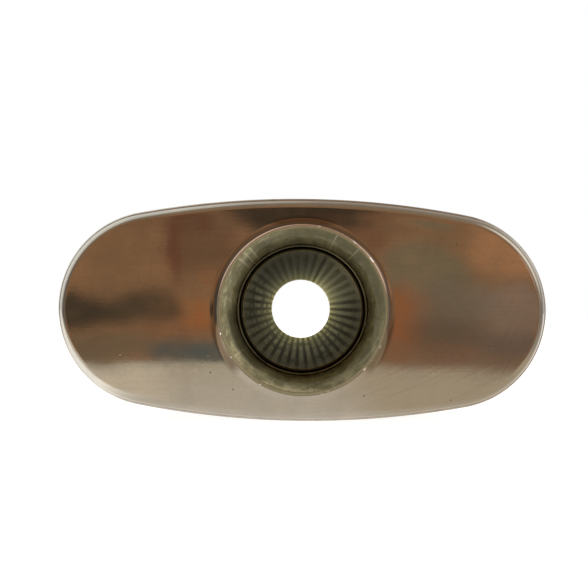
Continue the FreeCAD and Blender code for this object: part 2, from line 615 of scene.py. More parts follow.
    def emboss(self, height: Socket, depth: float, strength: float = 1.0) -> None:
        """Adds a bump to the shader, on top of any bump that it has.

        Args:
            height: the pattern, 0 to 1.
            depth: the pattern's depth, in metres.
            strength: share of the bump that shows.
        """
        node = self.node("Bump", {"Strength": strength, "Distance": depth, "Height": height})
        normal = self.shader.inputs["Normal"]
        if normal.is_linked:
            self.tree.links.new(normal.links[0].from_socket, node.inputs["Normal"])
        self.tree.links.new(node.outputs["Normal"], normal)

    def patch(self, across: Socket, up: Socket, spot: Spot, outer: float, inner: float) -> Socket:
        """Masks a soft oval spot.

        Args:
            across: the place across.
            up: the place up.
            spot: the spot's centre, half sizes and share.
            outer: where its edge has faded out, in half sizes.
            inner: where it is full, in half sizes.

        Returns:
            The spot's share.
        """
        sideways = self.sum("DIVIDE", self.sum("SUBTRACT", across, spot.across), spot.half_across)
        upwards = self.sum("DIVIDE", self.sum("SUBTRACT", up, spot.up), spot.half_up)
        return self.step(self.hypotenuse(sideways, upwards), outer, inner, spot.share)

    def hypotenuse(self, first: Socket, second: Socket) -> Socket:
        """The long side over two numbers at a right angle."""
        return self.sum("SQRT", self.weighted(self.product(second, second), (first, first)))

    def axis_radius(self) -> Socket:
        """The distance from the pipe axis."""
        across, _, up = self.split(self.place)
        return self.hypotenuse(across, up)

    def bearing(self) -> Socket:
        """The angle about the pipe axis, from +X towards +Z."""
        across, _, up = self.split(self.place)
        return self.sum("ARCTAN2", up, across)

    def facing(self, bearing: Socket, degrees: float) -> Socket:
        """How near a bearing lies to an angle in degrees: 1 at it, -1 across from it."""
        return self.sum("COSINE", self.sum("SUBTRACT", bearing, math.radians(degrees)))


class Finish:
    """A finish of the muffler, which paints one material.

    Attributes:
        name: the material's name.
    """

    name: str

    def paint(self, recipe: Recipe) -> None:
        """Fills the recipe; each finish has its own."""
        raise NotImplementedError

    def material(self) -> bpy.types.Material:
        """Makes the material of this finish."""
        recipe = Recipe(self.name)
        self.paint(recipe)
        return recipe.material


@dataclass(frozen=True)
class CoarseShadePatch(Spot):
    """A spot on the caps, in metres, where the buffing is coarser and its darker colour is painted
    shade of the mirrored floor.

    Attributes:
        slant: the way its scratches run, from +X towards +Z, in degrees.
    """

    slant: float


@dataclass(frozen=True)
class PolishedSteel(Finish):
    """Buffed stainless sheet: warm grey, softly mirrored, with buffing lines, stains, pits and
    painted shade.

    Attributes:
        name: the material's name.
        grain: the way its buffing lines run.
        base: colour of the clean metal.
        straw: colour where welding heat has tinted it.
        cool: colour of the cooler clouds in it.
        stain: colour of the dull smears.
        pit: colour inside a pit.
        collar_shade: colour of the painted shade on the collar's bend.
        coarse_shade: colour where the buffing is coarser, darker as painted shade of the mirrored
            floor.
        coarse_shade_patches: the places with coarser buffing and that painted shade.
        pit_places: X and Z of the larger pits.
        cap_start: distances from the middle between which the marks of the caps come in.
        wide_collar_shade: radii between which the painted shade comes in at the top and low on both
            sides.
        close_collar_shade: radii between which it comes in elsewhere.
        tint_ring: radii between which the heat tint comes in.
        tint_share: how much the heat tint shows.
    """

    name: str
    grain: Grain
    base: Colour = (0.425, 0.385, 0.318)
    cool: Colour = (0.350, 0.330, 0.285)
    straw: Colour = (0.470, 0.310, 0.185)
    stain: Colour = (0.320, 0.290, 0.245)
    pit: Colour = (0.070, 0.060, 0.050)
    collar_shade: Colour = (0.150, 0.105, 0.065)
    coarse_shade: Colour = (0.345, 0.305, 0.240)
    coarse_shade_patches: tuple[CoarseShadePatch, ...] = (
        CoarseShadePatch(62 * MM, -37 * MM, 62 * MM, 15 * MM, 0.80, 24.0),
        CoarseShadePatch(98 * MM, -25 * MM, 26 * MM, 26 * MM, 0.70, 62.0),
        CoarseShadePatch(66 * MM, -8 * MM, 26 * MM, 22 * MM, 0.50, -48.0),
        CoarseShadePatch(-58 * MM, -40 * MM, 44 * MM, 12 * MM, 0.40, 20.0),
        CoarseShadePatch(-5 * MM, -46 * MM, 30 * MM, 7 * MM, 0.30, 8.0),
    )
    pit_places: tuple[Span, ...] = (
        (-31.6 * MM, -37.0 * MM),
        (-42.2 * MM, -29.2 * MM),
        (29.0 * MM, -39.4 * MM),
        (-84.0 * MM, -22.0 * MM),
        (71.0 * MM, 31.0 * MM),
    )
    cap_start: Span = (168 * MM, 174 * MM)
    wide_collar_shade: Span = (44.5 * MM, 41.5 * MM)
    close_collar_shade: Span = (43.0 * MM, 40.5 * MM)
    tint_ring: Span = (66 * MM, 44 * MM)
    tint_share: float = 0.60

    def paint(self, recipe: Recipe) -> None:
        """Paints the buffed sheet.

        Args:
            recipe: the material's recipe.
        """
        bent = recipe.wander(recipe.place, 14.0, 3 * MM)
        lines = recipe.noise(recipe.stretched(bent, self.grain.value), 850.0, 5.0, 0.65)
        grit = recipe.noise(recipe.place, 520.0, 4.0, 0.70)
        clouds = recipe.noise(recipe.place, 26.0, 4.0, 0.55)
        smears = recipe.step(recipe.noise(bent, 42.0, 5.0, 0.6), 0.50, 0.74)
        coarseness_and_shade, scratches = self.coarse_shade_places(recipe, bent)
        pits = self.pits(recipe)
        colour = recipe.layered(
            self.base,
            (recipe.step(clouds, 0.42, 0.60, 0.6), self.cool),
            (recipe.product(smears, 0.45), self.stain),
            (recipe.step(lines, 0.46, 0.68, 0.25), self.stain),
            (recipe.step(grit, 0.48, 0.70, 0.35), self.stain),
            # coarser buffing, darkened as painted shade of the mirrored floor
            (recipe.product(coarseness_and_shade, 0.8), self.coarse_shade),
            (scratches, self.stain),
            (self.heat_tint(recipe), self.straw),
            # painted shade on the collar's bend, darkest at the top
            (self.painted_collar_shade(recipe), self.collar_shade),
            (pits, self.pit),
        )
        recipe.set("Base Color", colour)
        recipe.set("Metallic", 1.0)
        wear = ((clouds, 0.045), (smears, 0.05), (grit, 0.03), (coarseness_and_shade, 0.05), (pits, 0.4))
        recipe.set("Roughness", recipe.weighted(0.020, *wear))
        recipe.emboss(lines, 0.004 * MM, 0.6)
        recipe.emboss(grit, 0.008 * MM, 0.5)
        recipe.emboss(scratches, 0.012 * MM, 0.7)
        recipe.emboss(recipe.sum("SUBTRACT", 1.0, pits), 0.03 * MM)

    def coarse_shade_places(self, recipe: Recipe, bent: Socket) -> tuple[Socket, Socket]:
        """Masks the places with coarser buffing and painted shade, and the scratches in them.

        Args:
            recipe: the material's recipe.
            bent: the surface's place, softly bent.

        Returns:
            The share of coarser buffing and painted shade, and the share of its scratches.
        """
        across, _, up = recipe.split(recipe.wander(recipe.place, 25.0, 8 * MM))
        coarseness_and_shade: Value = 0.0
        scratches: Value = 0.0
        for spot in self.coarse_shade_patches:
            share = recipe.patch(across, up, spot, 1.30, 0.40)
            turn = -math.radians(spot.slant)
            marks = recipe.noise(recipe.stretched(bent, (0.03, 1.0, 1.0), turn), 700.0, 4.0, 0.65)
            shown = recipe.product(recipe.step(marks, 0.46, 0.66, 0.5), share)
            coarseness_and_shade = recipe.largest(coarseness_and_shade, share)
            scratches = recipe.largest(scratches, shown)
        return coarseness_and_shade, scratches

    def pits(self, recipe: Recipe) -> Socket:
        """Masks the pits, both the scattered ones and the larger ones.

        Args:
            recipe: the material's recipe.

        Returns:
            The pits' share.
        """
        total = recipe.product(recipe.specks(recipe.place, 90.0, 0.040), 0.45)
        for across, up in self.pit_places:
            away = recipe.vector("SUBTRACT", recipe.place, Vector((across, 0.0, up)))
            flat = recipe.vector("MULTIPLY", away, Vector((1.0, 0.0, 1.0)))
            share = recipe.step(recipe.length(flat), 0.60 * MM, 0.15 * MM, 0.60)
            total = recipe.largest(total, share)
        return total

    def at_cap(self, recipe: Recipe) -> Socket:
        """Masks both ends of the body, where the caps are."""
        _, along, _ = recipe.split(recipe.place)
        return recipe.step(recipe.sum("ABSOLUTE", along), *self.cap_start)

    def painted_collar_shade(self, recipe: Recipe) -> Socket:
        """Masks the painted shade on the collar's bend, close to the neck all round but for its
        foot.

        The painted shade reaches further out at the top and low on both sides.

        Args:
            recipe: the material's recipe.

        Returns:
            The painted shade's share.
        """
        radius = recipe.axis_radius()
        _, _, up = recipe.split(recipe.place)
        level = recipe.sum("DIVIDE", up, radius)
        top = recipe.step(level, 0.90, 0.975, 0.95)
        below = recipe.step(level, 0.0, -0.30)
        sides = recipe.product(recipe.step(level, -0.74, -0.62, 0.80), below)
        wide = recipe.product(recipe.step(radius, *self.wide_collar_shade), recipe.largest(sides, top))
        above_foot = recipe.step(level, -0.70, -0.48, 0.80)
        close = recipe.product(recipe.step(radius, *self.close_collar_shade), above_foot)
        return recipe.product(recipe.largest(wide, close), self.at_cap(recipe))

    def heat_tint(self, recipe: Recipe) -> Socket:
        """Masks the straw tint that the neck's weld has left each side of the collar.

        Args:
            recipe: the material's recipe.

        Returns:
            The tint's share.
        """
        radius = recipe.axis_radius()
        _, _, up = recipe.split(recipe.place)
        level = recipe.sum("DIVIDE", recipe.sum("ABSOLUTE", up), radius)
        blotch = recipe.noise(recipe.wander(recipe.place, 30.0, 6 * MM), 62.0, 4.0)
        return recipe.product(
            recipe.step(radius, *self.tint_ring),
            recipe.step(blotch, 0.40, 0.62),
            recipe.step(level, 0.50, 0.15),
            self.tint_share,
            self.at_cap(recipe),
        )


@dataclass(frozen=True)
class TubeMark:
    """A lighter line along the inside of a neck; those at 66 and 48 degrees are painted reflections
    streaked along the wall, the others drawing marks.

    Attributes:
        bearing: its angle about the pipe axis, from +X towards +Z, in degrees.
        width: its half width, in degrees.
        strength: how much it shows.
    """

    bearing: float
    width: float
    strength: float


@dataclass(frozen=True)
class TubeSteel(Finish):
    """Satin drawn tube: olive grey, with streaks along it, a few lighter drawing marks, painted
    reflections, and painted shade and highlights.

    Attributes:
        name: the material's name.
        base: colour of the metal.
        dull: colour of the duller streaks.
        shade_colour: colour of the painted shade deep in the neck.
        bright: colour of the marks.
        mouth: distance from the middle to the neck's rim.
        depth: distance from the middle to where the painted shade inside is full.
        outer_radius: outer radius of the socket.
        outside: colour of the tube's outside.
        rim: colour of the rim, darkened as painted shade.
        rim_highlight: colour of the painted highlight on the rim's upper outer edge.
        deep_shade_bearing: bearing of the side with painted shade deep in the neck, in degrees.
        shaded_side_bearing: bearing of the side where painted shade dulls the inside behind the
            mouth, in degrees.
        rim_glint: colour of the painted glints on the rim's outer edge.
        metallic: share of bare metal, the rest being a dull oxide film.
        marks: the drawing marks and the painted reflections along the wall.
        shade_start: distance behind the mouth where the painted shade inside starts.
        side_shade_reach: distances behind the mouth where that painted shade starts and is full.
        deep_shade_reach: the same for the painted shade deep in the neck.
        rim_shade_reach: the same for the rim's painted shade.
        skin: depths under the socket's outside where its own colour starts and is full.
    """

    name: str
    mouth: float
    depth: float
    outer_radius: float
    outside: Colour = (0.440, 0.415, 0.360)
    base: Colour = (0.770, 0.720, 0.455)
    dull: Colour = (0.310, 0.285, 0.160)
    shade_colour: Colour = (0.100, 0.090, 0.055)
    bright: Colour = (0.940, 0.880, 0.640)
    rim: Colour = (0.200, 0.175, 0.105)
    rim_highlight: Colour = (0.560, 0.390, 0.290)
    deep_shade_bearing: float = 208.0
    shaded_side_bearing: float = 48.0
    rim_glint: Colour = (0.950, 0.900, 0.830)
    metallic: float = 0.40
    marks: tuple[TubeMark, ...] = (
        # the first two are painted reflections streaked along the wall
        TubeMark(66.0, 0.9, 0.9),
        TubeMark(48.0, 0.8, 0.8),
        TubeMark(-145.5, 1.2, 0.9),
        TubeMark(131.0, 1.3, 0.8),
        TubeMark(136.0, 1.0, 0.9),
        TubeMark(141.5, 1.5, 0.7),
    )
    shade_start: float = 8 * MM
    side_shade_reach: Span = (28 * MM, 16 * MM)
    deep_shade_reach: Span = (20 * MM, 30 * MM)
    rim_shade_reach: Span = (1.6 * MM, 0.5 * MM)
    skin: Span = (0.7 * MM, 0.4 * MM)

    def paint(self, recipe: Recipe) -> None:
        """Paints the tube.

        Args:
            recipe: the material's recipe.
        """
        _, along, up = recipe.split(recipe.place)
        away = recipe.sum("ABSOLUTE", along)
        bearing = recipe.bearing()
        radius = recipe.axis_radius()
        streaks = recipe.noise(recipe.stretched(recipe.place, (1.0, 0.03, 1.0)), 420.0, 4.0, 0.65)
        broad = recipe.noise(recipe.stretched(recipe.place, (1.0, 0.30, 1.0)), 75.0, 5.0, 0.65)
        scuffs = recipe.noise(recipe.stretched(recipe.place, (1.0, 0.45, 1.0)), 260.0, 5.0, 0.70)
        rim_glints = recipe.step(recipe.noise(recipe.place, 330.0, 2.0), 0.62, 0.67)
        marks = self.mask(recipe, bearing)
        # painted shade on one side of the inside, behind the mouth
        shaded_side = recipe.step(recipe.facing(bearing, self.shaded_side_bearing), 0.0, 0.90, 0.85)
        side_shade = recipe.product(shaded_side, self.behind_mouth(recipe, away, self.side_shade_reach))
        # painted shade deep in the neck on one side
        deep_shade_side = recipe.step(recipe.facing(bearing, self.deep_shade_bearing), 0.82, 0.95)
        deep = self.behind_mouth(recipe, away, self.deep_shade_reach, 0.85)
        deep_shade = recipe.product(deep_shade_side, deep)
        at_mouth = self.behind_mouth(recipe, away, self.rim_shade_reach)
        outside = recipe.step(radius, *(self.outer_radius - depth for depth in self.skin))
        upper = recipe.step(recipe.sum("DIVIDE", up, radius), 0.10, 0.40)
        edge = recipe.product(at_mouth, outside, upper)
        colour = recipe.layered(
            self.base,
            (recipe.step(broad, 0.42, 0.60), self.dull),
            (recipe.step(streaks, 0.48, 0.72, 0.70), self.dull),
            (recipe.step(scuffs, 0.50, 0.62, 0.75), self.dull),
            (recipe.step(scuffs, 0.46, 0.36, 0.60), self.bright),
            # painted shade, darker deeper into the neck
            (recipe.step(away, self.mouth - self.shade_start, self.depth, 0.35), self.dull),
            (side_shade, self.dull),
            (marks, self.bright),
            (deep_shade, self.shade_colour),
            (outside, recipe.blend(recipe.step(streaks, 0.42, 0.70, 0.5), self.outside, self.dull)),
            # painted shade over the rim
            (recipe.product(at_mouth, 0.92), self.rim),
            # painted highlight on the rim's upper outer edge
            (edge, self.rim_highlight),
            # painted glints on the rim's outer edge
            (recipe.product(rim_glints, at_mouth, outside), self.rim_glint),
        )
        recipe.set("Base Color", colour)
        recipe.set("Metallic", recipe.weighted(self.metallic, (outside, 1.0 - self.metallic)))
        recipe.set("Roughness", recipe.weighted(0.24, (streaks, 0.22), (edge, -0.16)))
        inner = recipe.sum("SUBTRACT", 1.0, edge)
        recipe.emboss(recipe.product(streaks, inner), 0.02 * MM, 0.7)
        recipe.emboss(recipe.product(scuffs, inner), 0.02 * MM, 0.6)
        recipe.emboss(recipe.product(marks, inner), 0.05 * MM)

    def behind_mouth(self, recipe: Recipe, away: Socket, reach: Span, top: float = 1.0) -> Socket:
        """Masks a part of the tube between two distances behind the mouth."""
        return recipe.step(away, *(self.mouth - distance for distance in reach), top)

    def mask(self, recipe: Recipe, bearing: Socket) -> Socket:
        """Masks the drawing marks and the painted reflections.

        Args:
            recipe: the material's recipe.
            bearing: the surface's angle about the pipe axis.

        Returns:
            The marks' share.
        """
        total: Value = 0.0
        for mark in self.marks:
            from_mark = recipe.sum("SUBTRACT", bearing, math.radians(mark.bearing))
            away = recipe.sum("ABSOLUTE", from_mark)
            share = recipe.step(away, math.radians(mark.width), 0.0, mark.strength)
            total = recipe.largest(total, share)
        return total


@dataclass(frozen=True)
class WeldSteel(Finish):
    """Weld metal with fine ripples and a faint heat tint.

    Attributes:
        name: the material's name.
        base: colour of the metal.
        tint: colour of the tinted parts.
        roughness: lowest roughness.
    """

    name: str
    base: Colour = (0.480, 0.420, 0.350)
    tint: Colour = (0.330, 0.250, 0.230)
    roughness: float = 0.22

    def paint(self, recipe: Recipe) -> None:
        """Paints the weld.

        Args:
            recipe: the material's recipe.
        """
        clouds = recipe.noise(recipe.place, 180.0, 3.0)
        fine = recipe.noise(recipe.place, 1600.0, 3.0, 0.6)
        tinted = recipe.step(clouds, 0.42, 0.70)
        recipe.set("Base Color", recipe.blend(tinted, self.base, self.tint))
        recipe.set("Metallic", 1.0)
        recipe.set("Roughness", recipe.weighted(self.roughness, (fine, 0.16)))
        recipe.emboss(fine, 0.02 * MM, 0.5)


@dataclass(frozen=True)
class DullSteel(Finish):
    """Plain dark olive sheet with painted shade in patches, on one side, towards the inlet and in
    its holes, and a painted highlight on one side.

    Attributes:
        name: the material's name.
        base: colour of the metal.
        shade_colour: colour of the painted shade.
        roughness: lowest roughness.
        metallic: share of bare metal.
        edge: colour of the metal at a glancing view.
        lit_bearing: bearing of the side with a painted highlight, where the painted shade is held
            back, in degrees.
        shaded_bearing: bearing of the side with the most painted shade, in degrees.
        bore: radius of its bore; what lies beyond it, such as the holes' walls, gets painted shade.
        tails: number of rows of holes round it, each with a tail of painted shade along it.
        inlet_shade: Y where the painted shade towards the inlet starts and is full.
        hole_shade: depths beyond the bore where the holes' painted shade starts and is full.
    """

    name: str
    base: Colour
    bore: float
    shade_colour: Colour = (0.070, 0.065, 0.040)
    roughness: float = 0.34
    metallic: float = 0.9
    edge: Colour = (0.42, 0.39, 0.18)
    lit_bearing: float = 35.0
    shaded_bearing: float = 108.0
    tails: int = 0
    inlet_shade: Span = (-70 * MM, -160 * MM)
    hole_shade: Span = (0.04 * MM, 0.20 * MM)

    def paint(self, recipe: Recipe) -> None:
        """Paints the sheet with its painted shade and highlight.

        Args:
            recipe: the material's recipe.
        """
        patches = recipe.noise(recipe.stretched(recipe.place, (1.0, 0.3, 1.0)), 90.0, 4.0, 0.6)
        fine = recipe.noise(recipe.stretched(recipe.place, (1.0, 0.1, 1.0)), 700.0, 3.0, 0.6)
        _, along, _ = recipe.split(recipe.place)
        bearing = recipe.bearing()
        from_lit = recipe.facing(bearing, self.lit_bearing)
        from_shaded = recipe.facing(bearing, self.shaded_bearing)
        # painted shade: patches away from the lit side, one shaded side, and darker towards the
        # inlet
        patchy_shade = recipe.step(patches, 0.36, 0.74, 0.85)
        shaded = recipe.largest(
            recipe.product(patchy_shade, recipe.step(from_lit, 0.95, 0.20)),
            recipe.step(from_shaded, 0.60, 0.95, 0.62),
            recipe.step(along, *self.inlet_shade, 0.35),
        )
        # painted shade in a tail along each row of holes
        if self.tails:
            rows = recipe.sum("COSINE", recipe.product(bearing, float(self.tails)))
            shaded = recipe.largest(shaded, recipe.step(rows, -0.50, 0.75, 0.66))
        # painted highlight: the shade is held back on the lit side
        unlit = recipe.sum("SUBTRACT", 1.0, recipe.step(from_lit, 0.86, 0.98, 0.9))
        # painted shade in the holes' walls beyond the bore
        beyond = recipe.step(recipe.axis_radius(), *(self.bore + depth for depth in self.hole_shade))
        shaded = recipe.largest(recipe.product(shaded, unlit), beyond)
        recipe.set("Base Color", recipe.blend(shaded, self.base, self.shade_colour))
        recipe.set("Metallic", self.metallic)
        recipe.set("Specular Tint", self.edge)
        recipe.set("Roughness", recipe.weighted(self.roughness, (fine, 0.20), (shaded, 0.12)))
        recipe.emboss(fine, 0.02 * MM, 0.6)


@dataclass(frozen=True)
class Strands(Finish):
    """A mat of loose strands, for steel wool and for fibre.

    Attributes:
        name: the material's name.
        light: colour of the top strands.
        deep: colour between the strands, darker as painted shade.
        metallic: 1 for steel, 0 for fibre.
        roughness: the strands' roughness.
        per_metre: strands in each metre.
    """

    name: str
    light: Colour
    deep: Colour
    metallic: float
    roughness: float
    per_metre: float

    def paint(self, recipe: Recipe) -> None:
        """Paints the strands.

        Args:
            recipe: the material's recipe.
        """
        bent = recipe.wander(recipe.place, 90.0, 4 * MM)
        first, second = (
            recipe.noise(recipe.stretched(bent, scale, math.radians(slant)), self.per_metre)
            for scale, slant in (((0.08, 1.0, 1.0), 25), ((1.0, 0.08, 1.0), -35))
        )
        strands = recipe.largest(first, second)
        # painted shade between the strands, with the lighter strands on top
        unshaded_top = recipe.step(strands, 0.42, 0.70)
        recipe.set("Base Color", recipe.blend(unshaded_top, self.deep, self.light))
        recipe.set("Metallic", self.metallic)
        recipe.set("Roughness", self.roughness)
        recipe.emboss(strands, 0.5 * MM)


@dataclass
class BodyShell:
    """The rolled oval sheet and the weld along its crest.

    Attributes:
        sizes: the main sizes.
        outline: the body's oval.
        columns: vertices round the sheet.
        rows: rows along it.
        slack: depth of the sheet's soft unevenness.
        slack_waves: waves of that unevenness in each metre.
        calm_end: length of the shell's end over which it fades.
        calm_crest: width beside the seam over which it fades.
        bead_rows: rows along the seam weld.
        ripple_pitch: distance from one weld ripple to the next.
        ripple_depth: depth of a ripple below the crest.
    """

    sizes: BodySizes
    outline: OvalOutline
    columns: int = 260
    rows: int = 40
    slack: float = 0.16 * MM
    slack_waves: float = 9.0
    calm_end: float = 12 * MM
    calm_crest: float = 10 * MM
    bead_rows: int = 900
    ripple_pitch: float = 1.6 * MM
    ripple_depth: float = 0.10 * MM

    def build(self, sheet_finish: bpy.types.Material, bead_finish: bpy.types.Material) -> None:
        """Makes the sheet and the seam weld, and dresses them in their finishes."""
        dress(self.sheet(), "outer_shell", sheet_finish)
        dress(self.bead(), "shell_seam_weld", bead_finish)

    def sheet_point(self, turn: float, along: float) -> Vector:
        """Finds a point of the sheet's outside, with its soft unevenness.

        Args:
            turn: share of the outline from the crest.
            along: the point's Y.

        Returns:
            The point, never outside the true oval.
        """
        point = self.outline.point(turn, 0.0, along)
        at_end = min(1.0, (self.sizes.shell_end - abs(along)) / self.calm_end)
        at_crest = min(1.0, max(0.0, abs(point.x) / self.calm_crest - 0.1))
        swell = self.slack * soft_noise(point * self.slack_waves)
        depth = swell * at_end * max(at_crest, float(point.z < 0))
        return self.outline.point(turn, depth, along)

    def sheet(self) -> bpy.types.Object:
        """Makes the rolled sheet, open along its seam.

        Returns:
            The sheet.
        """
        gap = self.sizes.seam_half / (4 * self.outline.quarter_length)
        skin = RingSkin(self.columns, gap)
        for row in range(self.rows + 1):
            along = self.sizes.shell_end * (2 * row / self.rows - 1)
            skin.grow(lambda turn, along=along: self.sheet_point(turn, along))
        upper = max(skin.mesh.faces, key=lambda face: face.calc_center_median().z)
        thicken(skin.mesh, self.sizes.sheet, upper, Vector((0.0, 0.0, 1.0)))
        return as_object("body_sheet", skin.mesh)

    def bead(self) -> bpy.types.Object:
        """Makes the seam weld, with low ripples along it.

        Returns:
            The weld.
        """
        sizes = self.sizes
        mesh = bmesh.new()
        bmesh.ops.create_grid(mesh, x_segments=6, y_segments=self.bead_rows, size=1.0)
        for vertex in mesh.verts:
            share, along = vertex.co.x, vertex.co.y * sizes.shell_end
            phase = (along / self.ripple_pitch + 0.45 * share * share) % 1.0
            crown = self.ripple_depth * (0.25 + 0.75 * phase) * (1 - share * share) ** 0.5
            up = sizes.half_height - self.ripple_depth + crown
            up -= 0.5 * (share * sizes.seam_half) ** 2 / self.outline.broad_radius
            vertex.co = Vector((share * sizes.seam_half, along, up))
        wall = sizes.sheet - self.ripple_depth
        thicken(mesh, wall, next(iter(mesh.faces)), Vector((0.0, 0.0, 1.0)))
        return as_object("seam_bead", mesh)


@dataclass
class EndCap:
    """One pressed cap with its drawn collar, and the ground weld that joins it to the shell.

    Attributes:
        end: which end it closes.
        sizes: the main sizes.
        outline: the body's oval.
        sheet: thickness of the cap.
        bend_radius: outer radius of the collar's bend.
        land: length of the collar's straight lip.
        lip_chamfer: chamfer of the lip's outer edge.
        columns: vertices in each row.
        face_rows: rows from the rounded edge to the collar.
        bend_rows: rows round a bend.
        weld_rows: rows round the weld's corner.
        dish: how far the face sinks between the collar and the rounded edge.
        dish_reach: how fast it sinks away from the collar.
        wave_depth: depth of the pressed face's soft waves.
        waves: the soft waves in each metre.
        calm_reach: distance over which the waves fade at both borders.
    """

    end: End
    sizes: BodySizes
    outline: OvalOutline
    sheet: float = 1.5 * MM
    bend_radius: float = 8 * MM
    land: float = 2.5 * MM
    lip_chamfer: float = 0.25 * MM
    columns: int = 260
    face_rows: int = 16
    bend_rows: int = 9
    weld_rows: int = 5
    dish: float = 0.05 * MM
    dish_reach: float = 18 * MM
    wave_depth: float = 0.05 * MM
    waves: float = 13.0
    calm_reach: float = 14 * MM

    def build(self, cap_finish: bpy.types.Material, weld_finish: bpy.types.Material) -> None:
        """Makes the cap and its weld, and dresses them in their finishes."""
        dress(self.pressing(), self.end.word + "_end_cap", cap_finish)
        dress(self.weld_band(), self.end.word + "_cap_weld", weld_finish)

    @property
    def face(self) -> float:
        """Distance from the middle to the flat face."""
        return self.sizes.lip - self.land - self.bend_radius

    @property
    def edge_radius(self) -> float:
        """Outer radius of the cap's rounded edge."""
        return self.face - self.sizes.weld_end

    @property
    def face_inset(self) -> float:
        """How far the flat face's border lies inside the oval."""
        return self.sizes.sheet + self.edge_radius

    @property
    def root_radius(self) -> float:
        """Radius of the circle where the collar's bend leaves the face."""
        return self.sizes.collar_radius + self.bend_radius

    def oval(self, inset: float, along: float) -> Place:
        """A row on the oval."""
        return lambda turn: self.outline.point(turn, inset, self.end.value * along)

    def ring(self, radius: float, along: float) -> Place:
        """A row on a circle."""
        return lambda turn: circle_point(turn, radius, self.end.value * along)

    def face_row(self, share: float) -> Place:
        """Gives a row of the outer face, with the soft waves of the pressing.

        Args:
            share: 0 at the rounded edge and 1 at the collar.

        Returns:
            The row's place.
        """

        def place(turn: float) -> Vector:
            """The place of one vertex."""
            outside = self.outline.point(turn, self.face_inset, 0.0)
            inside = circle_point(turn, self.root_radius, 0.0)
            point = outside.lerp(inside, share)
            beyond = point.length - self.root_radius
            calm_edge = smooth_share((outside - point).length / self.calm_reach)
            calm = calm_edge * smooth_share(beyond / self.calm_reach)
            rise = -self.dish * (1 - math.exp(-beyond / self.dish_reach)) * calm_edge
            seed = Vector((3.7, 5.0 * self.end.value, 1.3))
            rise += self.wave_depth * noise.noise(point * self.waves + seed) * calm
            point.y = self.end.value * (self.face + rise)
            return point

        return place

    def bend(self, radius: float, outwards: bool) -> list[Place]:
        """Gives the rows round the collar's bend.

        Args:
            radius: the bend's radius on this side of the sheet.
            outwards: True from the face to the lip, False back again.

        Returns:
            The rows.
        """
        centre = self.face + self.bend_radius
        root = self.root_radius
        return [
            self.ring(root - radius * math.sin(angle), centre - radius * math.cos(angle))
            for angle in quarter_arc(self.bend_rows, outwards)
        ]

    def rounded_edge(self, radius: float, outwards: bool) -> list[Place]:
        """Gives the rows round the cap's rounded edge.

        Args:
            radius: the edge's radius on this side of the sheet.
            outwards: True from the skirt to the face, False back again.

        Returns:
            The rows.
        """
        inset, centre = self.face_inset, self.face - self.edge_radius
        return [
            self.oval(inset - radius * math.cos(angle), centre + radius * math.sin(angle))
            for angle in quarter_arc(self.bend_rows, outwards)
        ]

    def pressing(self) -> bpy.types.Object:
        """Makes the pressed cap as one closed sheet.

        Returns:
            The cap.
        """
        sizes = self.sizes
        inner_face = self.end.value * (self.face - self.sheet)
        places = [self.oval(sizes.sheet, sizes.skirt_end)]
        places += self.rounded_edge(self.edge_radius, outwards=True)
        for row in range(1, self.face_rows):
            share = row / self.face_rows
            places.append(self.face_row(0.5 - 0.5 * math.cos(math.pi * share)))
        places += self.bend(self.bend_radius, outwards=True)
        places.append(self.ring(sizes.collar_radius, sizes.lip - self.lip_chamfer))
        places.append(self.ring(sizes.collar_radius - self.lip_chamfer, sizes.lip))
        places.append(self.ring(sizes.collar_radius - self.sheet, sizes.lip))
        places += self.bend(self.bend_radius + self.sheet, outwards=False)
        places.append(
            lambda turn: self.outline.point(turn, self.face_inset, inner_face).lerp(
                circle_point(turn, self.root_radius, inner_face), 0.5
            )
        )
        places += self.rounded_edge(self.edge_radius - self.sheet, outwards=False)
        places.append(self.oval(sizes.sheet + self.sheet, sizes.skirt_end))
        return self.closed_piece("_pressed_cap", places)

    def weld_band(self) -> bpy.types.Object:
        """Makes the ground weld between the shell's edge and the cap.

        Returns:
            The weld.
        """
        sizes = self.sizes
        radius = 0.9 * min(sizes.sheet, sizes.weld_end - sizes.shell_end)
        places = [self.oval(sizes.sheet, sizes.shell_end), self.oval(0.0, sizes.shell_end)]
        for angle in quarter_arc(self.weld_rows):
            inset = radius * (1 - math.cos(angle))
            places.append(self.oval(inset, sizes.weld_end - radius * (1 - math.sin(angle))))
        places.append(self.oval(sizes.sheet, sizes.weld_end))
        return self.closed_piece("_ground_weld", places)

    def closed_piece(self, name: str, places: Sequence[Place]) -> bpy.types.Object:
        """Makes one closed piece of this end.

        Args:
            name: what its name says after the end's.
            places: its rows, in order round the section.

        Returns:
            The piece.
        """
        skin = RingSkin(self.columns)
        skin.grow_closed(places)
        return as_object(self.end.word + name, skin.mesh)


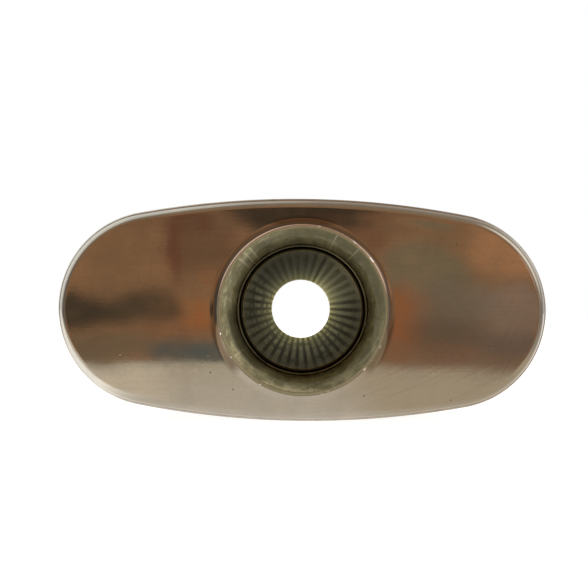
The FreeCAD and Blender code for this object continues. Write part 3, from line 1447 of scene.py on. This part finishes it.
@dataclass
class Neck:
    """One slip-on neck and the rippled bead that joins it to the collar.

    Attributes:
        end: which end it belongs to.
        sizes: the main sizes.
        wall: the tube's wall.
        step: how far the tube is swaged down behind its socket.
        swage: length of the swage.
        swage_gap: distance from the bead to the swage.
        rim: rounding of the mouth.
        soft: rounding of the swage.
        steps: steps round the tube.
        bead_steps: steps round the bead.
        crown: height of the bead's crown as a share of the bead's.
        ripples: ripples round the bead.
        ripple_depth: depth of a ripple.
    """

    end: End
    sizes: BodySizes
    wall: float = 1.5 * MM
    step: float = 0.5 * MM
    swage: float = 2 * MM
    swage_gap: float = 1 * MM
    rim: float = 0.5 * MM
    soft: float = 0.8 * MM
    steps: int = 180
    bead_steps: int = 720
    crown: float = 0.65
    ripples: int = 144
    ripple_depth: float = 0.22 * MM

    def build(self, tube_finish: bpy.types.Material, bead_finish: bpy.types.Material) -> None:
        """Makes the neck and its bead, and dresses them in their finishes."""
        dress(self.tube(), self.end.word + "_neck", tube_finish)
        dress(self.bead(), self.end.word + "_neck_weld", bead_finish)

    def tube(self) -> bpy.types.Object:
        """Makes the neck.

        Returns:
            The neck.
        """
        sizes = self.sizes
        outer, inner = sizes.socket_radius, sizes.socket_radius - self.wall
        swage_start = sizes.bead_end + self.swage_gap
        swage_end = swage_start + self.swage
        section = [
            (inner, sizes.mouth, self.rim),
            (outer, sizes.mouth, self.rim),
            (outer, swage_end, self.soft),
            (outer - self.step, swage_start, self.soft),
            (outer - self.step, sizes.neck_end, 0.0),
            (inner - self.step, sizes.neck_end, 0.0),
            (inner - self.step, swage_start, self.soft),
            (inner, swage_end, self.soft),
        ]
        mesh = turned(self.end.section(section), self.steps)
        return as_object(self.end.word + "_slip_neck", mesh)

    def bead(self) -> bpy.types.Object:
        """Makes the weld bead, with its overlapping ripples.

        Returns:
            The bead.
        """
        sizes = self.sizes
        foot = sizes.socket_radius - self.step
        leg = sizes.bead_end - sizes.lip
        height = sizes.collar_radius - foot
        section = [
            (foot, sizes.lip, 0.0),
            (sizes.collar_radius, sizes.lip, 0.0),
            (foot + self.crown * height * 1.15, sizes.lip + (1 - self.crown) * leg, 0.0),
            (foot + self.crown * height, sizes.lip + self.crown * leg, 0.0),
            (foot + 0.35 * height, sizes.lip + 0.88 * leg, 0.0),
            (foot, sizes.bead_end, 0.0),
        ]
        mesh = turned(self.end.section(section), self.bead_steps)
        for vertex in mesh.verts:
            radius = math.hypot(vertex.co.x, vertex.co.z)
            share = (abs(vertex.co.y) - sizes.lip) / leg
            lift = (radius - foot) / height
            if 0.05 < share < 0.98 and lift > 0.1:
                turn = math.atan2(vertex.co.z, vertex.co.x) / FULL_TURN
                phase = (turn * self.ripples + 1.1 * (share - 0.5) ** 2) % 1.0
                shrink = self.ripple_depth * (1 - phase) / radius
                vertex.co.x *= 1 - shrink
                vertex.co.z *= 1 - shrink
        return as_object(self.end.word + "_collar_bead", mesh)


@dataclass
class CoreSleeve:
    """One sleeve that seats in a neck and grips the end of the core.

    Attributes:
        end: which end it belongs to.
        sizes: the main sizes.
        sheet: its thickness.
        clearance: gap between its lip and the neck.
        lip: length of its free lip.
        flare: length of the flare behind the lip.
        seat: length that lies on the neck.
        draw: length over which it is drawn in.
        soft: rounding of its bends.
        rim: rounding of its edges.
        steps: steps round it.
    """

    end: End
    sizes: BodySizes
    sheet: float = 0.8 * MM
    clearance: float = 0.5 * MM
    lip: float = 4 * MM
    flare: float = 2.5 * MM
    seat: float = 5 * MM
    draw: float = 3 * MM
    soft: float = 0.6 * MM
    rim: float = 0.25 * MM
    steps: int = 160

    def build(self, finish: bpy.types.Material) -> None:
        """Makes and dresses the sleeve.

        Args:
            finish: its material.
        """
        sizes = self.sizes
        lip_end = sizes.core_end - self.lip
        seat_start = lip_end - self.flare
        seat_end = seat_start - self.seat
        grip = sizes.core_radius + self.sheet
        outside = [
            (sizes.seat_radius - self.clearance, sizes.core_end, self.rim),
            (sizes.seat_radius - self.clearance, lip_end, self.soft),
            (sizes.seat_radius, seat_start, self.soft),
            (sizes.seat_radius, seat_end, self.soft),
            (grip, seat_end - self.draw, self.soft),
            (grip, sizes.sleeve_end, self.rim),
        ]
        inside = [(radius - self.sheet, away, rounding) for radius, away, rounding in outside[::-1]]
        mesh = turned(self.end.section(outside + inside), self.steps, rounding_segments=2)
        piece = as_object(self.end.word + "_grip_sleeve", mesh)
        dress(piece, self.end.word + "_core_sleeve", finish)


@dataclass
class PunchedCore:
    """The perforated core, rolled from a punched sheet.

    Attributes:
        sizes: the main sizes.
        columns: cells round the core, every second one punched.
        rows: cells along the perforated length.
        wall: the sheet's thickness.
        hole_radius: radius of a hole.
        margin: plain length between a sleeve and the first holes.
        first_inset: width of the frame that starts each hole.
        border: share of a cell beside its border where nothing is moved.
    """

    sizes: BodySizes
    columns: int = 38
    rows: int = 62
    wall: float = 1 * MM
    hole_radius: float = 1.45 * MM
    margin: float = 0.8 * MM
    first_inset: float = 1.0 * MM
    border: float = 1e-3

    @property
    def inner_radius(self) -> float:
        """Radius of the core's bore."""
        return self.sizes.core_radius - self.wall

    @property
    def half_length(self) -> float:
        """Half of the perforated length."""
        return self.sizes.sleeve_end - self.margin

    @property
    def cell(self) -> tuple[float, float]:
        """A cell's size round and along the core."""
        return FULL_TURN * self.inner_radius / self.columns, 2 * self.half_length / self.rows

    def cell_number(self, point: Vector) -> tuple[int, int]:
        """Finds the cell that a point of the flat sheet lies in.

        Args:
            point: the point.

        Returns:
            Its column and row.
        """
        width, length = self.cell
        column = math.floor(point.x / width + self.columns / 2)
        row = math.floor(point.y / length + self.rows / 2)
        return column, row

    def cell_centre(self, point: Vector) -> Vector:
        """The centre of the cell that a point of the flat sheet lies in."""
        width, length = self.cell
        column, row = self.cell_number(point)
        return Vector(
            ((column + 0.5 - self.columns / 2) * width, (row + 0.5 - self.rows / 2) * length, 0.0)
        )

    def punched_sheet(self) -> bmesh.types.BMesh:
        """Makes the flat sheet with its round holes.

        Returns:
            The flat sheet.
        """
        width, length = self.cell
        mesh = bmesh.new()
        bmesh.ops.create_grid(mesh, x_segments=self.columns, y_segments=self.rows, size=0.5)
        size = Vector((width * self.columns, length * self.rows, 1.0))
        bmesh.ops.scale(mesh, vec=size, verts=mesh.verts)
        punched = [
            face for face in mesh.faces if sum(self.cell_number(face.calc_center_median())) % 2 == 0
        ]
        bmesh.ops.inset_individual(mesh, faces=punched, thickness=self.first_inset, depth=0.0)
        rims = {edge for face in punched for edge in face.edges}
        bmesh.ops.delete(mesh, geom=punched, context="FACES_ONLY")
        bmesh.ops.bisect_edges(mesh, edges=list(rims), cuts=2)
        for vertex in mesh.verts:
            centre = self.cell_centre(vertex.co)
            offset = vertex.co - centre
            if max(abs(offset.x) / width, abs(offset.y) / length) < 0.5 - self.border:
                vertex.co = centre + offset.normalized() * self.hole_radius
        return mesh

    def at_brink(self, vertex: bmesh.types.BMVert, sign: int) -> bool:
        """Whether a vertex lies on one end of the punched length."""
        return abs(vertex.co.y - sign * self.half_length) < WELD_DISTANCE

    def add_end_bands(self, mesh: bmesh.types.BMesh) -> None:
        """Lengthens the flat sheet by its plain ends.

        Args:
            mesh: the flat sheet.
        """
        for sign in (-1, 1):
            brink = [
                edge
                for edge in mesh.edges
                if edge.is_boundary and all(self.at_brink(vertex, sign) for vertex in edge.verts)
            ]
            made = bmesh.ops.extrude_edge_only(mesh, edges=brink)["geom"]
            grown = [item for item in made if isinstance(item, bmesh.types.BMVert)]
            for vertex in grown:
                vertex.co.y = sign * self.sizes.core_end

    def roll(self, point: Vector) -> Vector:
        """Finds where a point of the flat sheet lies once the sheet is rolled."""
        return circle_point(point.x / self.inner_radius / FULL_TURN, self.inner_radius, point.y)

    def build(self, finish: bpy.types.Material) -> None:
        """Makes and dresses the core.

        Args:
            finish: its material.
        """
        mesh = self.punched_sheet()
        self.add_end_bands(mesh)
        for vertex in mesh.verts:
            vertex.co = self.roll(vertex.co)
        bmesh.ops.remove_doubles(mesh, verts=mesh.verts, dist=10 * WELD_DISTANCE)
        sample = next(iter(mesh.faces))
        centre = sample.calc_center_median()
        thicken(mesh, self.wall, sample, Vector((-centre.x, 0.0, -centre.z)))
        dress(as_object("punched_core", mesh), "perforated_core", finish)


@dataclass
class Packing:
    """The wool round the core, the fibre rolled round it and the fibre each side.

    Attributes:
        voxel: size of the grid that the fibre's solids are cut into.
        wool_voxel: size of the wool's grid.
        tuft: how far the surface sinks between tufts.
        tufts: tufts in each metre.
        skin: how far the soft skin stays inside its solid.
    """

    voxel: float = 2.4 * MM
    wool_voxel: float = 1.6 * MM
    tuft: float = 0.8 * MM
    tufts: float = 130.0
    skin: float = 0.15 * MM

    def build(self, wool: bpy.types.Material, fibre: bpy.types.Material) -> None:
        """Makes and dresses the packing.

        Args:
            wool: material of the steel wool.
            fibre: material of the fibre.
        """
        self.stuff("steel_wool_wrap", "wool_roll", wool, self.wool_voxel)
        for node, name in (
            ("fibre_wrap", "fibre_roll"),
            ("left_fibre_pad", "left_fibre_fill"),
            ("right_fibre_pad", "right_fibre_fill"),
        ):
            self.stuff(node, name, fibre, self.voxel)

    def stuff(
        self, node: str, name: str, finish: bpy.types.Material, voxel: float
    ) -> None:
        """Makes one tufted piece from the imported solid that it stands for.

        Args:
            node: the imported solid.
            name: the piece's name.
            finish: the material.
            voxel: size of its grid.
        """
        mesh = bmesh.new()
        mesh.from_mesh(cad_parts[node].data)
        bmesh.ops.remove_doubles(mesh, verts=mesh.verts, dist=WELD_DISTANCE)
        piece = as_object(name, mesh)
        grid = piece.modifiers.new("grid", "REMESH")
        grid.mode = "VOXEL"
        grid.voxel_size = voxel
        view = bpy.context.evaluated_depsgraph_get()
        shaped = bpy.data.meshes.new_from_object(piece.evaluated_get(view))
        piece.modifiers.clear()
        piece.data = shaped
        mesh = bmesh.new()
        mesh.from_mesh(shaped)
        bmesh.ops.smooth_vert(
            mesh, verts=mesh.verts, factor=0.5, use_axis_x=True, use_axis_y=True, use_axis_z=True
        )
        mesh.normal_update()
        for vertex in mesh.verts:
            sink = self.skin + self.tuft * soft_noise(vertex.co * self.tufts)
            vertex.co -= vertex.normal * sink
        for face in mesh.faces:
            face.smooth = True
        mesh.to_mesh(shaped)
        mesh.free()
        shaped.name = name
        dress(piece, node, finish)


@dataclass(frozen=True)
class RoomPatch(Spot):
    """A spot of the room in front, in slopes from straight ahead, which the inlet cap mirrors.

    Attributes:
        light: its colour.
    """

    light: Colour


@dataclass(frozen=True)
class RoomGlow:
    """A soft round light of the room, such as a window.

    Attributes:
        towards: the way to it, as X, Y and Z.
        outer: angle from its middle where it has faded out, in degrees.
        inner: angle from its middle within which it is full, in degrees.
        light: its colour.
        share: how much of it shows.
    """

    towards: Triple
    outer: float
    inner: float
    light: Colour
    share: float


@dataclass(frozen=True)
class FloorZone:
    """A zone of the mirrored floor.

    Attributes:
        light: its colour.
        across: X where it starts and where it is full, if it has such a border.
        along: the same for Y.
    """

    light: Colour
    across: Span | None = None
    along: Span | None = None


@dataclass(frozen=True)
class Lamp:
    """A broad soft lamp that faces the muffler and isn't mirrored in it.

    Attributes:
        name: its name.
        place: where it hangs.
        size: its width and depth.
        energy: its power, in watts.
    """

    name: str
    place: Triple
    size: Span
    energy: float


@dataclass
class Studio:
    """The pale floor, the soft light with the room in front, and the camera.

    Attributes:
        floor_level: height of the floor.
        floor_front: the floor's front edge, just behind the camera.
        floor_back: the floor's far edge.
        floor_half: half of the floor's width.
        floor_base: the floor's own colour.
        floor_glow: colour of the light that it gives off.
        floor_strength: strength of that light.
        eye: the camera's place.
        lens: its focal length, in millimetres.
        sensor: its sensor's width, in millimetres.
        clip: the nearest and the farthest distance that it sees.
        shift: its shift across and up, as shares of the frame.
        roll: its roll, in radians.
        near: colour of the room straight ahead of the inlet cap.
        shade: colour of the darker clouds in it.
        ember: colour of the warmer flecks in it.
        overhead: colour of the ceiling ahead of the inlet.
        corner: colour of that ceiling towards both sides.
        left: colour of the room on the left.
        right: colour of the room on the right.
        beside: colour of the room beside the body.
        behind: colour of the room far behind the outlet.
        above: colour of the ceiling behind the inlet cap.
        lamp_colour: colour of the lamps.
        lamps: the lamps.
        patches: the patches of the room in front.
        patch_edge: where a patch has faded out and where it is full, in its half sizes.
        glows: the windows of the room.
        floor_light: colour of the mirrored floor in front.
        zones: the zones of the mirrored floor, in the order in which they are laid.
    """

    floor_level: float
    floor_front: float = -503 * MM
    floor_back: float = 3000 * MM
    floor_half: float = 3000 * MM
    floor_base: Colour = (0.46, 0.455, 0.45)
    floor_glow: Colour = (1.0, 0.995, 0.99)
    floor_strength: float = 0.78
    eye: Triple = (-1.32 * MM, -486.2 * MM, 1.0 * MM)
    lens: float = 41.2
    sensor: float = 36.0
    clip: Span = (0.01, 20.0)
    shift: Span = (-0.0092, 0.0233)
    roll: float = math.radians(0.547)
    near: Colour = (0.480, 0.270, 0.150)
    shade: Colour = (0.300, 0.190, 0.115)
    ember: Colour = (0.780, 0.380, 0.190)
    overhead: Colour = (0.450, 0.350, 0.265)
    corner: Colour = (0.560, 0.480, 0.400)
    left: Colour = (0.240, 0.230, 0.235)
    right: Colour = (0.480, 0.430, 0.420)
    beside: Colour = (0.820, 0.830, 0.860)
    behind: Colour = (1.200, 1.220, 1.270)
    above: Colour = (0.600, 0.560, 0.525)
    lamp_colour: Colour = (1.0, 0.96, 0.90)
    lamps: tuple[Lamp, ...] = (
        Lamp("softbox", (0.0, -0.1, 1.5), (1.4, 1.0), 6.0),
        Lamp("side_lamp", (0.80, -0.85, 0.22), (0.45, 0.45), 6.0),
    )
    patches: tuple[RoomPatch, ...] = (
        RoomPatch(-0.150, 0.095, 0.058, 0.045, 0.80, (0.270, 0.150, 0.085)),
        RoomPatch(-0.190, 0.078, 0.014, 0.055, 0.80, (0.230, 0.085, 0.060)),
        RoomPatch(-0.163, 0.124, 0.050, 0.013, 0.80, (0.220, 0.090, 0.065)),
        RoomPatch(-0.110, 0.112, 0.028, 0.022, 0.60, (0.340, 0.180, 0.110)),
        RoomPatch(-0.130, 0.156, 0.065, 0.020, 0.85, (0.270, 0.175, 0.100)),
        RoomPatch(-0.150, -0.008, 0.046, 0.026, 0.80, (0.560, 0.260, 0.120)),
        RoomPatch(-0.240, -0.004, 0.072, 0.024, 0.90, (0.115, 0.090, 0.060)),
        RoomPatch(-0.380, -0.005, 0.105, 0.036, 0.95, (0.080, 0.070, 0.052)),
        RoomPatch(-0.290, -0.060, 0.075, 0.024, 0.80, (0.310, 0.240, 0.160)),
        RoomPatch(-0.205, -0.034, 0.045, 0.016, 0.60, (0.420, 0.215, 0.120)),
        RoomPatch(-0.165, -0.070, 0.068, 0.018, 1.0, (0.165, 0.200, 0.200)),
        RoomPatch(0.004, 0.152, 0.125, 0.042, 0.97, (0.070, 0.056, 0.042)),
        RoomPatch(0.045, 0.118, 0.030, 0.014, 0.75, (0.300, 0.120, 0.060)),
        RoomPatch(0.100, 0.108, 0.035, 0.026, 0.70, (0.300, 0.140, 0.085)),
        RoomPatch(0.150, 0.140, 0.055, 0.030, 0.72, (0.320, 0.190, 0.115)),
        RoomPatch(0.190, 0.062, 0.075, 0.050, 0.88, (0.340, 0.285, 0.190)),
        RoomPatch(0.226, 0.012, 0.070, 0.044, 0.88, (0.335, 0.285, 0.225)),
        RoomPatch(0.228, -0.040, 0.074, 0.030, 0.90, (0.235, 0.180, 0.140)),
        RoomPatch(0.163, -0.022, 0.020, 0.076, 0.90, (0.520, 0.245, 0.135)),
        RoomPatch(0.118, -0.060, 0.014, 0.030, 0.70, (0.230, 0.150, 0.095)),
        RoomPatch(0.318, 0.088, 0.062, 0.055, 0.85, (0.720, 0.375, 0.200)),
        RoomPatch(0.320, -0.004, 0.060, 0.036, 0.80, (0.440, 0.330, 0.280)),
        RoomPatch(0.325, -0.056, 0.050, 0.022, 0.95, (0.230, 0.200, 0.195)),
        RoomPatch(0.240, -0.086, 0.080, 0.016, 0.85, (0.370, 0.230, 0.170)),
        RoomPatch(0.400, 0.085, 0.050, 0.050, 0.85, (1.150, 0.800, 0.620)),
        RoomPatch(0.950, 0.480, 0.420, 0.300, 0.90, (1.250, 1.020, 0.880)),
    )
    patch_edge: Span = (1.10, 0.68)
    glows: tuple[RoomGlow, ...] = (
        RoomGlow((-0.76, 0.15, 0.63), 57.0, 22.0, (1.48, 1.54, 1.58), 0.92),
        RoomGlow((0.74, -0.50, 0.46), 26.0, 8.0, (1.75, 1.68, 1.60), 0.90),
    )
    floor_light: Colour = (0.80, 0.73, 0.60)
    zones: tuple[FloorZone, ...] = (
        FloorZone((1.04, 0.98, 0.91), along=(-0.50, -0.16)),
        FloorZone((1.18, 1.05, 0.90), (-0.060, -0.120), (-0.52, -0.36)),
        FloorZone((2.15, 2.22, 2.30), (-0.070, -0.120), (-0.32, -0.17)),
        FloorZone((0.55, 0.55, 0.52), (-0.20, -0.34), (-0.26, -0.40)),
        FloorZone((0.88, 0.77, 0.63), across=(0.010, 0.060)),
        FloorZone((0.64, 0.60, 0.56), (0.17, 0.24), (-0.15, -0.24)),
        FloorZone((0.40, 0.25, 0.17), (0.04, 0.10), (-0.40, -0.50)),
        FloorZone((1.46, 1.48, 1.53), along=(-0.20, -0.11)),
    )

    def build(self) -> None:
        """Makes the floor, the light and the camera."""
        self.lay_floor()
        self.light_room()
        for lamp in self.lamps:
            self.hang(lamp)
        self.place_camera()

    def floor_sheet(self, name: str, recipe: Recipe) -> bpy.types.Object:
        """Makes one flat sheet as large as the floor.

        Args:
            name: the sheet's name.
            recipe: its material's recipe.

        Returns:
            The sheet.
        """
        mesh = bmesh.new()
        bmesh.ops.create_grid(mesh, x_segments=1, y_segments=1, size=1.0)
        depth = (self.floor_back - self.floor_front) / 2
        middle = (self.floor_back + self.floor_front) / 2
        bmesh.ops.scale(mesh, vec=Vector((self.floor_half, depth, 1.0)), verts=mesh.verts)
        bmesh.ops.translate(mesh, vec=Vector((0.0, middle, self.floor_level)), verts=mesh.verts)
        sheet = as_object(name, mesh)
        sheet.data.materials.append(recipe.material)
        log.info("%s is laid", sheet.name)
        return sheet

    def lay_floor(self) -> None:
        """Makes the plain pale floor, and the card that the metal mirrors in its place."""
        recipe = Recipe("pale_floor")
        recipe.set("Base Color", self.floor_base)
        recipe.set("Roughness", 0.85)
        recipe.set("Emission Color", self.floor_glow)
        recipe.set("Emission Strength", self.floor_strength)
        self.floor_sheet("studio_floor", recipe).visible_glossy = False
        card = self.floor_sheet("floor_card", self.card_recipe())
        for rays in ("camera", "diffuse", "transmission", "shadow"):
            setattr(card, "visible_" + rays, False)

    def card_recipe(self) -> Recipe:
        """Paints the mirrored floor: bright on the left and behind, shaded at the right front.

        Returns:
            The recipe of the card's material.
        """
        recipe = Recipe("floor_card")
        across, along, _ = recipe.split(recipe.place)
        light: Paint = self.floor_light
        for zone in self.zones:
            borders = ((across, zone.across), (along, zone.along))
            shares = [recipe.step(place, *border) for place, border in borders if border]
            light = recipe.blend(recipe.product(*shares), light, zone.light)
        recipe.set("Base Color", (0.0, 0.0, 0.0))
        recipe.set("Specular IOR Level", 0.0)
        recipe.set("Emission Color", light)
        recipe.set("Emission Strength", 1.0)
        return recipe

    def light_room(self) -> None:
        """Makes the light from all round, white where the camera looks straight at it."""
        world = bpy.data.worlds.new("soft_room")
        world.use_nodes = True
        bpy.context.scene.world = world
        room = WorldRecipe(world)
        across, along, up = room.split(room.direction)
        ahead = room.largest(room.product(along, -1.0), 0.001)
        slope_across = room.sum("ADD", room.sum("DIVIDE", across, ahead), room.sway(12.0, 0.040))
        slope_up = room.sum("ADD", room.sum("DIVIDE", up, ahead), room.sway(10.0, 0.030))
        mottle = room.noise(room.direction, 24.0, 4.0)
        flecks = room.noise(room.direction, 40.0, 5.0, 0.65)
        sideways = room.sum("ABSOLUTE", across)
        ceiling = room.blend(room.step(sideways, 0.15, 0.65), self.overhead, self.corner)
        rear = room.layered(
            self.beside,
            (room.step(along, 0.25, 0.95), self.behind),
            (room.step(up, 0.35, 0.80), self.above),
        )
        colour = room.layered(
            self.near,
            (room.step(mottle, 0.40, 0.68, 0.35), self.shade),
            (room.step(slope_across, -0.40, -0.75), self.left),
            (room.step(slope_across, 0.38, 0.62), self.right),
        )
        for patch in self.patches:
            share = room.patch(slope_across, slope_up, patch, *self.patch_edge)
            colour = room.blend(share, colour, patch.light)
        colour = room.layered(
            colour,
            (room.step(flecks, 0.53, 0.72, 0.30), self.ember),
            (room.step(flecks, 0.48, 0.32, 0.50), self.shade),
            (room.step(room.weighted(up, (sideways, 0.30)), 0.24, 0.80), ceiling),
            (room.step(along, -0.35, 0.25), rear),
        )
        for glow in self.glows:
            colour = room.blend(room.glow(glow), colour, glow.light)
        room.finish(colour)
        log.info("the room has %d patches ahead of the inlet", len(self.patches))

    def hang(self, lamp: Lamp) -> None:
        """Hangs one lamp.

        Args:
            lamp: the lamp.
        """
        light = bpy.data.lights.new(lamp.name, "AREA")
        light.shape = "RECTANGLE"
        light.size, light.size_y = lamp.size
        light.energy = lamp.energy
        light.color = self.lamp_colour
        holder = bpy.data.objects.new(lamp.name, light)
        holder.location = lamp.place
        holder.rotation_mode = "QUATERNION"
        holder.rotation_quaternion = (-Vector(lamp.place)).to_track_quat("-Z", "Y")
        holder.visible_glossy = False
        bpy.context.scene.collection.objects.link(holder)

    def place_camera(self) -> None:
        """Sets the camera on the pipe axis, looking straight into the inlet."""
        data = bpy.data.cameras.new("front_camera")
        data.lens = self.lens
        data.sensor_width = self.sensor
        data.shift_x, data.shift_y = self.shift
        data.clip_start, data.clip_end = self.clip
        camera = bpy.data.objects.new("front_camera", data)
        level = Matrix.Rotation(QUARTER_TURN, 4, "X") @ Matrix.Rotation(self.roll, 4, "Z")
        camera.matrix_world = Matrix.Translation(self.eye) @ level
        bpy.context.scene.collection.objects.link(camera)
        bpy.context.scene.camera = camera
        bpy.context.scene.view_settings.view_transform = "Standard"


class WorldRecipe(Recipe):
    """Builds the nodes of the room's light."""

    def __init__(self, world: bpy.types.World) -> None:
        """Starts with an empty world.

        Args:
            world: the world to fill.
        """
        self.tree = world.node_tree
        self.tree.nodes.clear()
        self.coordinates = self.tree.nodes.new("ShaderNodeTexCoord")

    @property
    def direction(self) -> Socket:
        """The direction that the light comes from."""
        return self.coordinates.outputs["Generated"]

    def sway(self, scale: float, reach: float) -> Socket:
        """Makes a soft shift of the patches' edges, up to a reach each way."""
        centred = self.sum("SUBTRACT", self.noise(self.direction, scale, 2.0), 0.5)
        return self.product(centred, 2 * reach)

    def glow(self, glow: RoomGlow) -> Socket:
        """Masks one soft round light.

        Args:
            glow: the light.

        Returns:
            Its share.
        """
        towards = Vector(glow.towards).normalized()
        node = self.node("VectorMath", {0: self.direction, 1: towards}, operation="DOT_PRODUCT")
        outer, inner = (math.cos(math.radians(angle)) for angle in (glow.outer, glow.inner))
        return self.step(node.outputs["Value"], outer, inner, glow.share)

    def finish(self, colour: Socket) -> None:
        """Joins the colour to the world's output, with plain white behind the object.

        Args:
            colour: the room's light.
        """
        room = self.node("Background", {"Color": colour})
        backdrop = self.node("Background", {"Color": (1.0, 1.0, 1.0)})
        seen = self.node("LightPath", {}).outputs["Is Camera Ray"]
        mixed = self.node("MixShader", {0: seen, 1: room.outputs[0], 2: backdrop.outputs[0]})
        self.node("OutputWorld", {"Surface": mixed.outputs[0]})


def main() -> None:
    """Builds every piece of the muffler in order, and then the studio."""
    logging.basicConfig(level=logging.INFO, format="%(message)s")
    sizes = BodySizes.from_frame()
    outline = OvalOutline(sizes.half_width, sizes.half_height, END_ARC_RADIUS)
    cap_steel = PolishedSteel("polished_steel_across", Grain.ACROSS).material()
    shell_steel = PolishedSteel("polished_steel_lengthwise", Grain.LENGTHWISE).material()
    ground = WeldSteel(
        "ground_weld", (0.425, 0.385, 0.325), (0.360, 0.325, 0.275), roughness=0.14
    ).material()
    rippled = WeldSteel("rippled_bead").material()
    tube = TubeSteel("satin_tube", sizes.mouth, sizes.bead_end, sizes.socket_radius).material()
    sleeve_bore = sizes.seat_radius + 1 * MM
    sleeve = DullSteel("sleeve_sheet", (0.34, 0.32, 0.20), sleeve_bore, metallic=0.5).material()
    punched = PunchedCore(sizes)
    core = DullSteel(
        "core_sheet", (0.72, 0.67, 0.40), punched.inner_radius, tails=punched.columns
    ).material()
    wool = Strands(
        "wool_strands", (0.16, 0.155, 0.12), (0.02, 0.02, 0.016), 0.7, 0.45, per_metre=900.0
    ).material()
    fibre = Strands(
        "fibre_strands", (0.80, 0.77, 0.68), (0.45, 0.41, 0.33), 0.0, 0.95, per_metre=500.0
    ).material()
    BodyShell(sizes, outline).build(shell_steel, ground)
    for end in End:
        EndCap(end, sizes, outline).build(cap_steel, ground)
        Neck(end, sizes).build(tube, rippled)
        CoreSleeve(end, sizes).build(sleeve)
    punched.build(core)
    Packing().build(wool, fibre)
    Studio(floor_level=-sizes.half_height).build()


if __name__ == "__main__":
    main()
